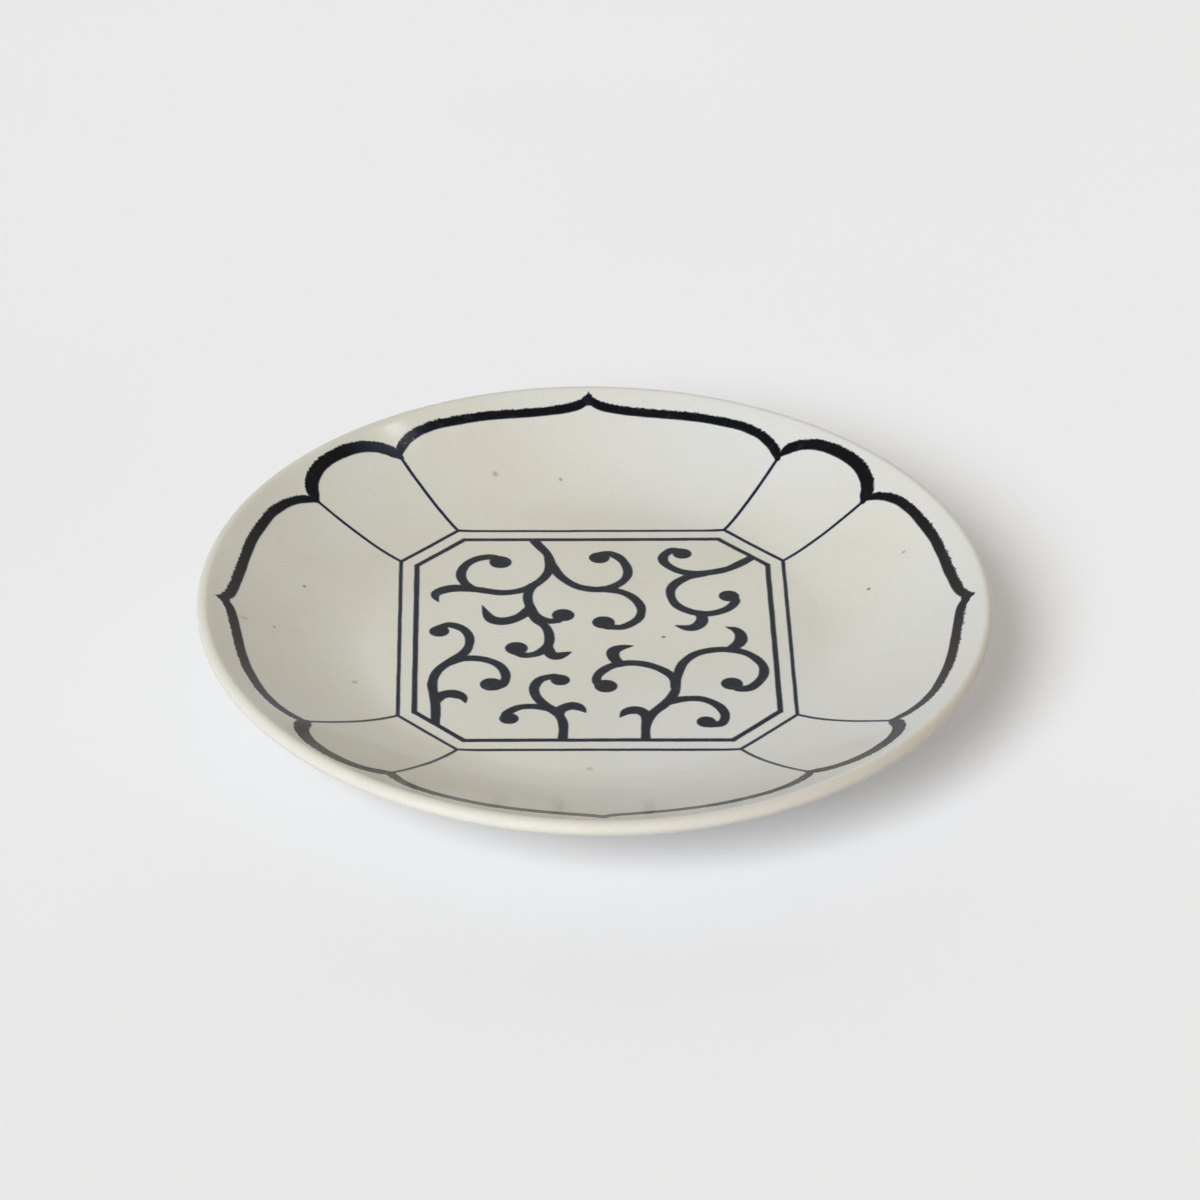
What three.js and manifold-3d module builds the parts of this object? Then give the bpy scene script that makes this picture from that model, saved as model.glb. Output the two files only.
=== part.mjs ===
// A shallow round ceramic plate on a foot ring, with a painted border, frame and vine scrolls.
// Millimetres, +Z up. The origin is the centre of the foot's standing edge.
import * as THREE from "three";
import { mergeVertices } from "three/addons/utils/BufferGeometryUtils.js";
import Module from "manifold-3d";

const wasm = await Module();
wasm.setup();

// The ware
const PLATE_DIAMETER = 150;
const WELL_DIAMETER = 87;
const WELL_DEPTH = 10.9;
const WALL_SLOPE_DEG = 31.6;
const LIP_THICKNESS = 2.8;
const BASE_THICKNESS = 4.2;

// The foot ring, luted to the base with a thin layer of slip
const FOOT_DIAMETER = 85;
const FOOT_HEIGHT = 6.5;
const FOOT_EDGE_WIDTH = 2.8;
const FOOT_TAPER = 0.8;
const FOOT_FILLET = 1.4;
const FOOT_CHAMFER = 0.5;
const FOOT_SHOULDER = 2;
const SLIP_LAYER = 0.2;

// The paint
const PAINT_THICKNESS = 0.15;
const PAINT_SEAT = 0.2;
const PAINT_GAP = 0.3;

// The lobed border: four pointed bracket lobes with a small round lobe between each two
const BORDER_WIDTH = 2.1;
const BORDER_END_WIDTH = 1;
const BRACKET_INSET = 5.6;
const BRACKET_TIP_RISE = 2.9;
const TIP_WIDTH = 0.5;
const CORNER_INSET = 3.6;
const CUSP_INSET = 9.2;
const CUSP_ANGLE_DEG = 10;
const SWELL_SHARE = 0.25;
const TIP_SHARE = 0.1;

// Half of each lobe from its cusp: shares of the cusp's angle, and of its drop below the lobe's crown.
const BRACKET_SHOULDER_SHARES = [
  [1, 1], [0.965, 0.64], [0.91, 0.17], [0.84, -0.06], [0.72, -0.17], [0.5, -0.1], [0.27, 0],
];
const CORNER_SHOULDER_SHARES = [[1, 1], [0.88, 0.75], [0.75, 0.46], [0.6, 0.24], [0.4, 0.08], [0.2, 0.01]];

// The bracket's run out to its tip: shares of the cusp's angle, and of the tip's rise.
const BRACKET_POINT_SHARES = [[0.12, 0.1], [0.045, 0.35], [0, 1]];

// The double frame, a square with cut corners, and the lines that join it to the border's cusps
const FRAME_HALF_WIDTH = 37.4;
const FRAME_CORNER_CUT = 11.1;
const FRAME_SPACING = 3.1;
const OUTER_FRAME_WIDTH = 0.8;
const INNER_FRAME_WIDTH = 1.1;
const PANEL_LINE_WIDTH = 0.65;

// The vines
const VINE_WIDTH = 2;
const THORN_WIDTH = 2.6;
const THORN_TIP_WIDTH = 0.5;
const BUD_DIAMETER = 4.2;

// Fineness of the facets
const TURN_SEGMENTS = 72;
const WALL_SEGMENTS = 9;
const LIP_SEGMENTS = 6;
const FILLET_SEGMENTS = 3;
const BUD_SEGMENTS = 20;
const SIDE_SPLITS = 3;
const BORDER_FACET_LENGTH = 2.4;
const LINE_FACET_LENGTH = 4;
const VINE_FACET_LENGTH = 1.7;
const MERGE_DISTANCE = 1e-4;

// Heights and radii that follow from the driving sizes
const plateRadius = PLATE_DIAMETER / 2;
const wellRadius = WELL_DIAMETER / 2;
const lipRadius = LIP_THICKNESS / 2;
const slope = THREE.MathUtils.degToRad(WALL_SLOPE_DEG);
const baseZ = FOOT_HEIGHT;
const floorZ = baseZ + BASE_THICKNESS;
const lipCentre = new THREE.Vector2(plateRadius - lipRadius, floorZ + WELL_DEPTH - lipRadius);
const footOuter = FOOT_DIAMETER / 2;
const footInner = footOuter - FOOT_EDGE_WIDTH - 2 * FOOT_CHAMFER;
const footRootOuter = footOuter + FOOT_TAPER + FOOT_FILLET;
const footRootInner = footInner - FOOT_TAPER - FOOT_FILLET;

// A point of the lip's round edge, by the direction of its outward normal from the horizontal.
function lipPoint(angle) {
  return new THREE.Vector2(Math.cos(angle), Math.sin(angle)).multiplyScalar(lipRadius).add(lipCentre);
}

// A curve that leaves a level floor at (radius, z) and arrives at a point of the lip with the wall's slope.
function wallCurve(radius, z, lip) {
  const bend = new THREE.Vector2(lip.x - (lip.y - z) / Math.tan(slope), z);
  return new THREE.QuadraticBezierCurve(new THREE.Vector2(radius, z), bend, lip);
}

const innerLip = lipPoint(Math.PI / 2 + slope);
const outerLip = lipPoint(slope - Math.PI / 2);
const innerWall = wallCurve(wellRadius, floorZ, innerLip);
const outerWall = wallCurve(footRootOuter + FOOT_SHOULDER, baseZ, outerLip);

// Height of the plate's face at a distance from the axis.
function faceHeight(radius) {
  if (radius <= wellRadius) return floorZ;
  if (radius > innerLip.x) {
    const reach = Math.min(radius - lipCentre.x, lipRadius);
    return lipCentre.y + Math.sqrt(lipRadius ** 2 - reach ** 2);
  }
  const { v0, v1, v2 } = innerWall;
  const a = v0.x - 2 * v1.x + v2.x;
  const b = v1.x - v0.x;
  const c = v0.x - radius;
  const t = -c / (b + Math.sqrt(b * b - a * c));
  return innerWall.getPoint(t).y;
}

// Solids of revolution about +Z from a profile of (radius, height) points.
function revolve(profile) {
  return new THREE.LatheGeometry(profile, TURN_SEGMENTS).rotateX(Math.PI / 2);
}

function plateBody() {
  const lip = [];
  for (let i = 1; i < LIP_SEGMENTS; i++) {
    lip.push(lipPoint(slope - Math.PI / 2 + (Math.PI * i) / LIP_SEGMENTS));
  }
  return revolve([
    new THREE.Vector2(0, baseZ),
    ...outerWall.getPoints(WALL_SEGMENTS),
    ...lip,
    ...innerWall.getPoints(WALL_SEGMENTS).reverse(),
    new THREE.Vector2(0, floorZ),
  ]);
}

function footRing() {
  const top = baseZ - SLIP_LAYER;
  const side = (edge, root, lean) =>
    new THREE.QuadraticBezierCurve(
      new THREE.Vector2(edge + lean * FOOT_TAPER, top - FOOT_FILLET),
      new THREE.Vector2(edge + lean * FOOT_TAPER, top),
      new THREE.Vector2(root, top),
    ).getPoints(FILLET_SEGMENTS);
  const profile = [
    new THREE.Vector2(footInner + FOOT_CHAMFER, 0),
    new THREE.Vector2(footOuter - FOOT_CHAMFER, 0),
    new THREE.Vector2(footOuter, FOOT_CHAMFER),
    ...side(footOuter, footRootOuter, 1),
    ...side(footInner, footRootInner, -1).reverse(),
    new THREE.Vector2(footInner, FOOT_CHAMFER),
  ];
  return revolve([...profile, profile[0]]);
}

// A painted strip between two edges that run side by side, laid on the plate's face.
function strip(left, right, closed = false) {
  const positions = [];
  left.forEach((l, i) => {
    const r = right[i];
    const zl = faceHeight(l.length()) + PAINT_SEAT;
    const zr = faceHeight(r.length()) + PAINT_SEAT;
    positions.push(l.x, l.y, zl, l.x, l.y, zl + PAINT_THICKNESS);
    positions.push(r.x, r.y, zr + PAINT_THICKNESS, r.x, r.y, zr);
  });
  const rows = left.length;
  const index = [];
  for (let i = 0; i < (closed ? rows : rows - 1); i++) {
    const next = (i + 1) % rows;
    for (let k = 0; k < 4; k++) {
      const turn = (k + 1) % 4;
      index.push(4 * i + k, 4 * next + turn, 4 * next + k);
      index.push(4 * i + k, 4 * i + turn, 4 * next + turn);
    }
  }
  if (!closed) {
    const end = 4 * (rows - 1);
    index.push(0, 2, 1, 0, 3, 2, end, end + 1, end + 2, end, end + 2, end + 3);
  }
  const geometry = new THREE.BufferGeometry();
  geometry.setAttribute("position", new THREE.Float32BufferAttribute(positions, 3));
  geometry.setIndex(index);
  return geometry;
}

// A brush stroke along points, with a width that is a function of the share of the way.
function stroke(points, step, widthAt) {
  const path = new THREE.SplineCurve(points);
  const count = Math.max(2, Math.ceil(path.getLength() / step));
  const left = [];
  const right = [];
  for (let i = 0; i <= count; i++) {
    const at = path.getPointAt(i / count);
    const across = path.getTangentAt(i / count).rotateAround(new THREE.Vector2(), Math.PI / 2);
    const half = widthAt(i / count) / 2;
    left.push(at.clone().addScaledVector(across, half));
    right.push(at.clone().addScaledVector(across, -half));
  }
  return strip(left, right);
}

// Joins and cuts
function solid(geometry) {
  const bare = geometry.clone();
  bare.deleteAttribute("normal");
  bare.deleteAttribute("uv");
  const merged = mergeVertices(bare, MERGE_DISTANCE);
  return new wasm.Manifold(
    new wasm.Mesh({
      numProp: 3,
      vertProperties: new Float32Array(merged.attributes.position.array),
      triVerts: new Uint32Array(merged.index.array),
    }),
  );
}

function shapeOf(manifold) {
  const mesh = manifold.getMesh();
  const geometry = new THREE.BufferGeometry();
  geometry.setAttribute("position", new THREE.BufferAttribute(mesh.vertProperties, 3));
  geometry.setIndex(new THREE.BufferAttribute(mesh.triVerts, 1));
  return geometry;
}

function join(geometries) {
  return geometries.map(solid).reduce((whole, part) => whole.add(part));
}

// A point at an angle from +Y, towards +X, and a distance in from the rim.
function fromRim(angleDeg, inset) {
  const angle = THREE.MathUtils.degToRad(angleDeg);
  return new THREE.Vector2(Math.sin(angle), Math.cos(angle)).multiplyScalar(plateRadius - inset);
}

const mirrored = (point) => new THREE.Vector2(-point.x, point.y);
const QUARTER_DEG = 90;
const DIAGONAL_DEG = 45;
const cuspAngle = DIAGONAL_DEG - CUSP_ANGLE_DEG;

// Points of half a lobe from shares of its cusp's angle and of its drop from the crown to the cusp.
function shoulder(shares, angleDeg, crownInset) {
  const drop = CUSP_INSET - crownInset;
  return shares.map(([turn, fall]) => fromRim(turn * angleDeg, crownInset + fall * drop));
}

// Border strokes swell from their ends to their full width.
function borderWidth(share) {
  const swell = THREE.MathUtils.smoothstep(share, 0, SWELL_SHARE);
  return THREE.MathUtils.lerp(BORDER_END_WIDTH, BORDER_WIDTH, swell);
}

// A wedge of space about +Y that holds one lobe, half a gap short of the radial lines through its cusps.
function lobeWedge(halfAngleDeg) {
  const halfAngle = THREE.MathUtils.degToRad(halfAngleDeg);
  const corner = fromRim(halfAngleDeg, -plateRadius);
  const outline = new THREE.Shape([corner, mirrored(corner), new THREE.Vector2()]);
  return new THREE.ExtrudeGeometry(outline, { depth: floorZ + 2 * WELL_DEPTH, bevelEnabled: false })
    .translate(0, PAINT_GAP / 2 / Math.sin(halfAngle), 0);
}

// Strokes joined into one lobe and trimmed at its cusps.
function lobe(strokes, halfAngleDeg) {
  return shapeOf(join(strokes).intersect(solid(lobeWedge(halfAngleDeg))));
}

// One bracket lobe about +Y: each half follows the rim, turns in to its cusp and out to the shared tip.
function bracketLobe() {
  const crown = shoulder(BRACKET_SHOULDER_SHARES, cuspAngle, BRACKET_INSET);
  const point = BRACKET_POINT_SHARES.map(([turn, rise]) =>
    fromRim(turn * cuspAngle, BRACKET_INSET - rise * BRACKET_TIP_RISE),
  );
  const half = [...crown, ...point];
  const width = (share) => {
    const tip = THREE.MathUtils.smoothstep(share, 1 - TIP_SHARE, 1);
    return THREE.MathUtils.lerp(borderWidth(share), TIP_WIDTH, tip);
  };
  const halves = [half, half.map(mirrored)];
  return lobe(halves.map((points) => stroke(points, BORDER_FACET_LENGTH, width)), cuspAngle);
}

// One small round lobe about +Y, from cusp to cusp.
function cornerLobe() {
  const half = shoulder(CORNER_SHOULDER_SHARES, CUSP_ANGLE_DEG, CORNER_INSET);
  const points = [...half, fromRim(0, CORNER_INSET), ...half.map(mirrored).reverse()];
  const width = (share) => borderWidth(Math.min(share, 1 - share));
  return lobe([stroke(points, BORDER_FACET_LENGTH, width)], CUSP_ANGLE_DEG);
}

// The corners of the frame moved in by a distance, counter-clockwise from the right-hand side's lower end.
function frameCorners(inset) {
  const half = FRAME_HALF_WIDTH - inset;
  const flat = FRAME_HALF_WIDTH - FRAME_CORNER_CUT - inset * Math.tan(Math.PI / 8);
  const corners = [];
  for (let quarter = 0; quarter < 4; quarter++) {
    const turn = (quarter * Math.PI) / 2;
    corners.push(new THREE.Vector2(half, -flat).rotateAround(new THREE.Vector2(), turn));
    corners.push(new THREE.Vector2(half, flat).rotateAround(new THREE.Vector2(), turn));
  }
  return corners;
}

// The outline of the frame at an inset, with each side split so that it follows the face.
function frameOutline(inset) {
  const corners = frameCorners(inset);
  return corners.flatMap((corner, i) => {
    const next = corners[(i + 1) % corners.length];
    return Array.from({ length: SIDE_SPLITS }, (_, k) => corner.clone().lerp(next, k / SIDE_SPLITS));
  });
}

function frameLine(inset, width) {
  return strip(frameOutline(inset + width / 2), frameOutline(inset - width / 2), true);
}

// A line from a corner of the outer frame to the cusp of the border beside it.
function panelLine(corner, cusp) {
  const along = cusp.clone().sub(corner).normalize();
  const start = corner.clone().addScaledVector(along, OUTER_FRAME_WIDTH + PAINT_GAP);
  const end = cusp.clone().addScaledVector(along, -(BORDER_END_WIDTH + PAINT_GAP));
  return stroke([start, start.clone().lerp(end, 0.5), end], LINE_FACET_LENGTH, () => PANEL_LINE_WIDTH);
}

// The vines are drawn in hundredths of the inner frame's half width. A stem keeps its width and may end
// in a round bud, and a thorn swells and runs out to a point.
const VINES = {
  vine_back_left: [
    { stem: [[-35.5, 103], [-31, 94], [-26, 84], [-25, 74.5], [-26.5, 64.5], [-32, 55], [-41, 47.5],
      [-52.5, 45], [-65.5, 48], [-74.5, 49.5]] },
    { thorn: [[-68.5, 49], [-80, 49.5], [-88, 46], [-90, 41.5], [-88, 35.5]] },
    { stem: [[-69, 49], [-74, 56.5], [-75.5, 64.5], [-73, 73], [-67, 79.5], [-59, 82], [-53.5, 80]],
      bud: [-53, 76.5] },
    { stem: [[-35, 52], [-37.5, 43.5], [-37.5, 36], [-35.5, 27], [-32, 20], [-26, 16], [-21, 16.5]],
      bud: [-18, 22] },
    { thorn: [[-36.5, 29], [-42.5, 20.5], [-51.5, 16], [-59, 19], [-63.5, 32]] },
    { stem: [[-36, 26], [-33, 17], [-28, 10], [-26, 1], [-27, -8.5], [-32.5, -16], [-40, -18], [-45, -15]],
      bud: [-44.5, -11] },
    { thorn: [[-27, -9.5], [-25.5, -16.5], [-22, -19], [-14, -15]] },
    { stem: [[-25, 78.5], [-23, 71.5], [-18.5, 61], [-10, 51.5], [1, 48], [9.5, 50], [17, 57.5],
      [19.5, 67], [16.5, 78.5], [10.5, 85], [5.5, 85]], bud: [3.5, 81] },
    { stem: [[4.5, 48.5], [15, 45.5], [22, 39], [26, 29], [24, 18], [15.5, 10], [7, 10]],
      bud: [4.5, 14.5] },
  ],
  vine_back_right: [
    { stem: [[95, 85], [84.5, 75], [74.5, 68], [61, 64.5], [49.5, 66.5], [41.5, 74], [40, 81.5],
      [44.5, 88], [49.5, 87.5]], bud: [51, 85] },
    { stem: [[62.5, 64], [52.5, 60], [45, 52], [43, 43], [46, 32], [54, 25], [64, 23], [74, 27.5],
      [79.5, 35.5], [77.5, 40.5]], bud: [76, 41] },
    { thorn: [[59, 23.5], [60, 16.5], [57, 10.5], [52, 8.5], [44.5, 11]] },
  ],
  vine_left: [
    { stem: [[-89, -86.5], [-89, -70], [-90, -57], [-91, -45], [-88, -33], [-79.5, -22], [-72.5, -13.5],
      [-70.5, -1.5], [-74, 8], [-81.5, 12.5], [-87, 10]], bud: [-87.5, 6] },
    { stem: [[-81.5, -25], [-73, -21], [-62.5, -22], [-54, -28], [-50.5, -37.5], [-52, -46], [-55.5, -49]],
      bud: [-58.5, -46.5] },
    { thorn: [[-88.5, -62], [-85.5, -57], [-80, -55.5], [-74.5, -58.5], [-72.5, -64.5]] },
  ],
  vine_front: [
    { stem: [[-20.5, -105], [-19.5, -87.5], [-21.5, -77], [-28, -68], [-33.5, -59.5], [-35, -50],
      [-31.5, -42], [-24.5, -39], [-21, -40]], bud: [-20.5, -42.5] },
    { stem: [[-26, -70], [-35, -68], [-43.5, -69], [-50, -74.5], [-49.5, -78]], bud: [-49, -79.5] },
    { thorn: [[-21.5, -75], [-20, -70.5], [-14.5, -67.5], [-10, -69.5], [-7, -74]] },
  ],
  vine_front_right: [
    { stem: [[25, -105], [25.5, -86.5], [29.5, -75], [37.5, -64.5], [42.5, -53.5], [42.5, -43.5],
      [38.5, -35.5], [29.5, -28.5], [18.5, -26], [8, -29], [1, -36.5], [-0.5, -43.5], [2.5, -48]],
      bud: [4.5, -48.5] },
    { stem: [[42.5, -49], [44.5, -38], [48, -26], [56.5, -16.5], [70, -13], [83, -16.5], [91.5, -27.5],
      [91.5, -39], [85, -49.5], [78, -51.5], [76, -49]], bud: [74, -46.5] },
    { thorn: [[12.5, -27], [9.5, -20.5], [9.5, -14.5], [13.5, -11], [20.5, -9]] },
    { thorn: [[74.5, -13], [80, -6], [81, 1], [78.5, 6.5], [73, 9.5]] },
    { stem: [[38, -64], [48, -61], [57.5, -61.5], [65.5, -67.5], [69, -76], [67, -84], [61, -85.5]],
      bud: [58.5, -83] },
    { thorn: [[26, -81.5], [25.5, -76], [21.5, -72], [15.5, -73], [11.5, -78.5]] },
  ],
};

const panelHalf = FRAME_HALF_WIDTH - FRAME_SPACING;
const onPanel = ([x, y]) => new THREE.Vector2(x, y).multiplyScalar(panelHalf / 100);

function thornWidth(share) {
  if (share < 0.5) return THREE.MathUtils.lerp(VINE_WIDTH, THORN_WIDTH, Math.sin(share * Math.PI));
  return THREE.MathUtils.lerp(THORN_TIP_WIDTH, THORN_WIDTH, Math.sin(share * Math.PI));
}

function bud([x, y]) {
  const centre = onPanel([x, y]);
  return new THREE.CylinderGeometry(BUD_DIAMETER / 2, BUD_DIAMETER / 2, PAINT_THICKNESS, BUD_SEGMENTS)
    .rotateX(Math.PI / 2)
    .translate(centre.x, centre.y, floorZ + PAINT_SEAT + PAINT_THICKNESS / 2);
}

// One vine, its strokes joined and its root trimmed along the inner frame's line.
function vine(strokes) {
  const pieces = strokes.flatMap((drawn) => {
    const width = drawn.thorn ? thornWidth : () => VINE_WIDTH;
    const line = stroke((drawn.thorn ?? drawn.stem).map(onPanel), VINE_FACET_LENGTH, width);
    return drawn.bud ? [line, bud(drawn.bud)] : [line];
  });
  const edge = FRAME_SPACING + INNER_FRAME_WIDTH / 2 + PAINT_GAP;
  const panel = new THREE.ExtrudeGeometry(new THREE.Shape(frameCorners(edge)), {
    depth: WELL_DEPTH,
    bevelEnabled: false,
  }).translate(0, 0, floorZ);
  return shapeOf(join(pieces).intersect(solid(panel)));
}

// Finishes
const glaze = new THREE.MeshStandardMaterial({ color: 0xcdcbc0, roughness: 0.18, metalness: 0 });
const bareClay = new THREE.MeshStandardMaterial({ color: 0xb9a88f, roughness: 0.75, metalness: 0 });
const borderInk = new THREE.MeshStandardMaterial({ color: 0x1c1d20, roughness: 0.22, metalness: 0 });
const lineInk = new THREE.MeshStandardMaterial({ color: 0x2b313a, roughness: 0.22, metalness: 0 });

const plate = new THREE.Group();

function place(name, geometry, material, turnDeg = 0) {
  const mesh = new THREE.Mesh(geometry, material);
  mesh.name = name;
  mesh.rotation.z = -THREE.MathUtils.degToRad(turnDeg);
  mesh.geometry.computeVertexNormals();
  plate.add(mesh);
}

place("plate_body", plateBody(), glaze);
place("foot_ring", footRing(), bareClay);

const SIDES = ["back", "right", "front", "left"];
const CORNERS = ["back_right", "front_right", "front_left", "back_left"];
SIDES.forEach((side, i) => place(`border_bracket_${side}`, bracketLobe(), borderInk, i * QUARTER_DEG));
CORNERS.forEach((corner, i) => {
  place(`border_lobe_${corner}`, cornerLobe(), borderInk, i * QUARTER_DEG + DIAGONAL_DEG);
});

place("frame_outer", frameLine(0, OUTER_FRAME_WIDTH), lineInk);
place("frame_inner", frameLine(FRAME_SPACING, INNER_FRAME_WIDTH), lineInk);

const [, besideRight, besideBack] = frameCorners(0);
const nearBack = panelLine(besideBack, fromRim(cuspAngle, CUSP_INSET));
const nearRight = panelLine(besideRight, fromRim(QUARTER_DEG - cuspAngle, CUSP_INSET));
CORNERS.forEach((corner, i) => {
  place(`panel_line_${corner}_first`, nearBack.clone(), lineInk, i * QUARTER_DEG);
  place(`panel_line_${corner}_second`, nearRight.clone(), lineInk, i * QUARTER_DEG);
});

Object.entries(VINES).forEach(([name, strokes]) => place(name, vine(strokes), lineInk));

export default plate;
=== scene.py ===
"""A small painted plate: a glazed dish on a foot ring, with a brushed border, frame and vine scrolls.

Everything is in metres, +Z up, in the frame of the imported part. Plan points of the brushwork are in
millimetres or in hundredths of the panel, as their comments say.
"""

import logging
import math
from collections.abc import Callable, Sequence
from dataclasses import dataclass, field
from enum import Enum
from typing import ClassVar

import bpy
import numpy as np
from mathutils import Matrix, Vector, noise


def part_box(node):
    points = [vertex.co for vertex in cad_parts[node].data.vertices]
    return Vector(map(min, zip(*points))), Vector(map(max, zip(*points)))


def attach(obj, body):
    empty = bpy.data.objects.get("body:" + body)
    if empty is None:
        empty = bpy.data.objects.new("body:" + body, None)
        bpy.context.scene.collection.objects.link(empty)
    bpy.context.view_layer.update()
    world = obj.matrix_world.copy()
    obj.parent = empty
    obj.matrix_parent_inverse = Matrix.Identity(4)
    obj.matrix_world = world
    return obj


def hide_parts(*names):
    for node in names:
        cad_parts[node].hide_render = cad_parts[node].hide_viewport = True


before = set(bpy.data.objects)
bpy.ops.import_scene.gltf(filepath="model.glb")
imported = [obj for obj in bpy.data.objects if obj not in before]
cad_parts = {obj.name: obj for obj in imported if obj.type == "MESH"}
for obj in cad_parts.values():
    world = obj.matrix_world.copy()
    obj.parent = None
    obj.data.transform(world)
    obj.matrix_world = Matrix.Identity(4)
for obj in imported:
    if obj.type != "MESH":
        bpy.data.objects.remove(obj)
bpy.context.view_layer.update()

log = logging.getLogger("plate")

MM = 0.001
BODY = "root"
RIM_GAP = 0.02 * MM
WELD = 0.002 * MM
TINY = 1e-6
Colour = tuple[float, float, float, float]
Cloud = tuple[float, float, float]
Band = tuple[float, float]
PlanPoint = tuple[float, float]


class Slot(Enum):
    """Material slots."""

    GLAZE = "glaze"
    BARE_CLAY = "bare_clay"
    BORDER_INK = "border_ink"
    LINE_INK = "line_ink"


class Side(Enum):
    """Sides of the panel, with their turn from the back, clockwise from above, in degrees."""

    BACK = 0
    RIGHT = 90
    FRONT = 180
    LEFT = 270


class Corner(Enum):
    """Corners of the panel, with their turn from the back, clockwise from above, in degrees."""

    BACK_RIGHT = 45
    FRONT_RIGHT = 135
    FRONT_LEFT = 225
    BACK_LEFT = 315


class Coat(Enum):
    """Kinds of brushwork, with their height above the glaze in the order in which they were laid."""

    VINE = 0.012 * MM
    FRAME = 0.016 * MM
    SPOKE = 0.020 * MM
    BRACKET = 0.024 * MM
    LOBE = 0.028 * MM


def smoothstep(low: float, high: float, value: float) -> float:
    """Rises smoothly from 0 at low to 1 at high.

    Args:
        low: the value below which the result is 0.
        high: the value above which the result is 1.
        value: the value to judge.

    Returns:
        A share from 0 to 1.
    """
    share = min(max((value - low) / (high - low), 0.0), 1.0)
    return share * share * (3 - 2 * share)


def lerp(start: float, end: float, share: float) -> float:
    """Gives the number that lies a share of the way from start to end."""
    return start + (end - start) * share


class Value:
    """A shader socket that takes part in Python expressions."""

    def __init__(self, graph: "Graph", socket: bpy.types.NodeSocket) -> None:
        """Keeps the socket and the graph that it belongs to."""
        self.graph = graph
        self.socket = socket

    def __add__(self, other: "Value | float") -> "Value":
        """Adds."""
        return self.graph.math("ADD", self, other)

    def __radd__(self, other: float) -> "Value":
        """Adds, with the number first."""
        return self.graph.math("ADD", other, self)

    def __sub__(self, other: "Value | float") -> "Value":
        """Subtracts."""
        return self.graph.math("SUBTRACT", self, other)

    def __rsub__(self, other: float) -> "Value":
        """Subtracts from a number."""
        return self.graph.math("SUBTRACT", other, self)

    def __mul__(self, other: "Value | float") -> "Value":
        """Multiplies."""
        return self.graph.math("MULTIPLY", self, other)

    def __rmul__(self, other: float) -> "Value":
        """Multiplies, with the number first."""
        return self.graph.math("MULTIPLY", other, self)

    def __truediv__(self, other: "Value | float") -> "Value":
        """Divides."""
        return self.graph.math("DIVIDE", self, other)


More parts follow.
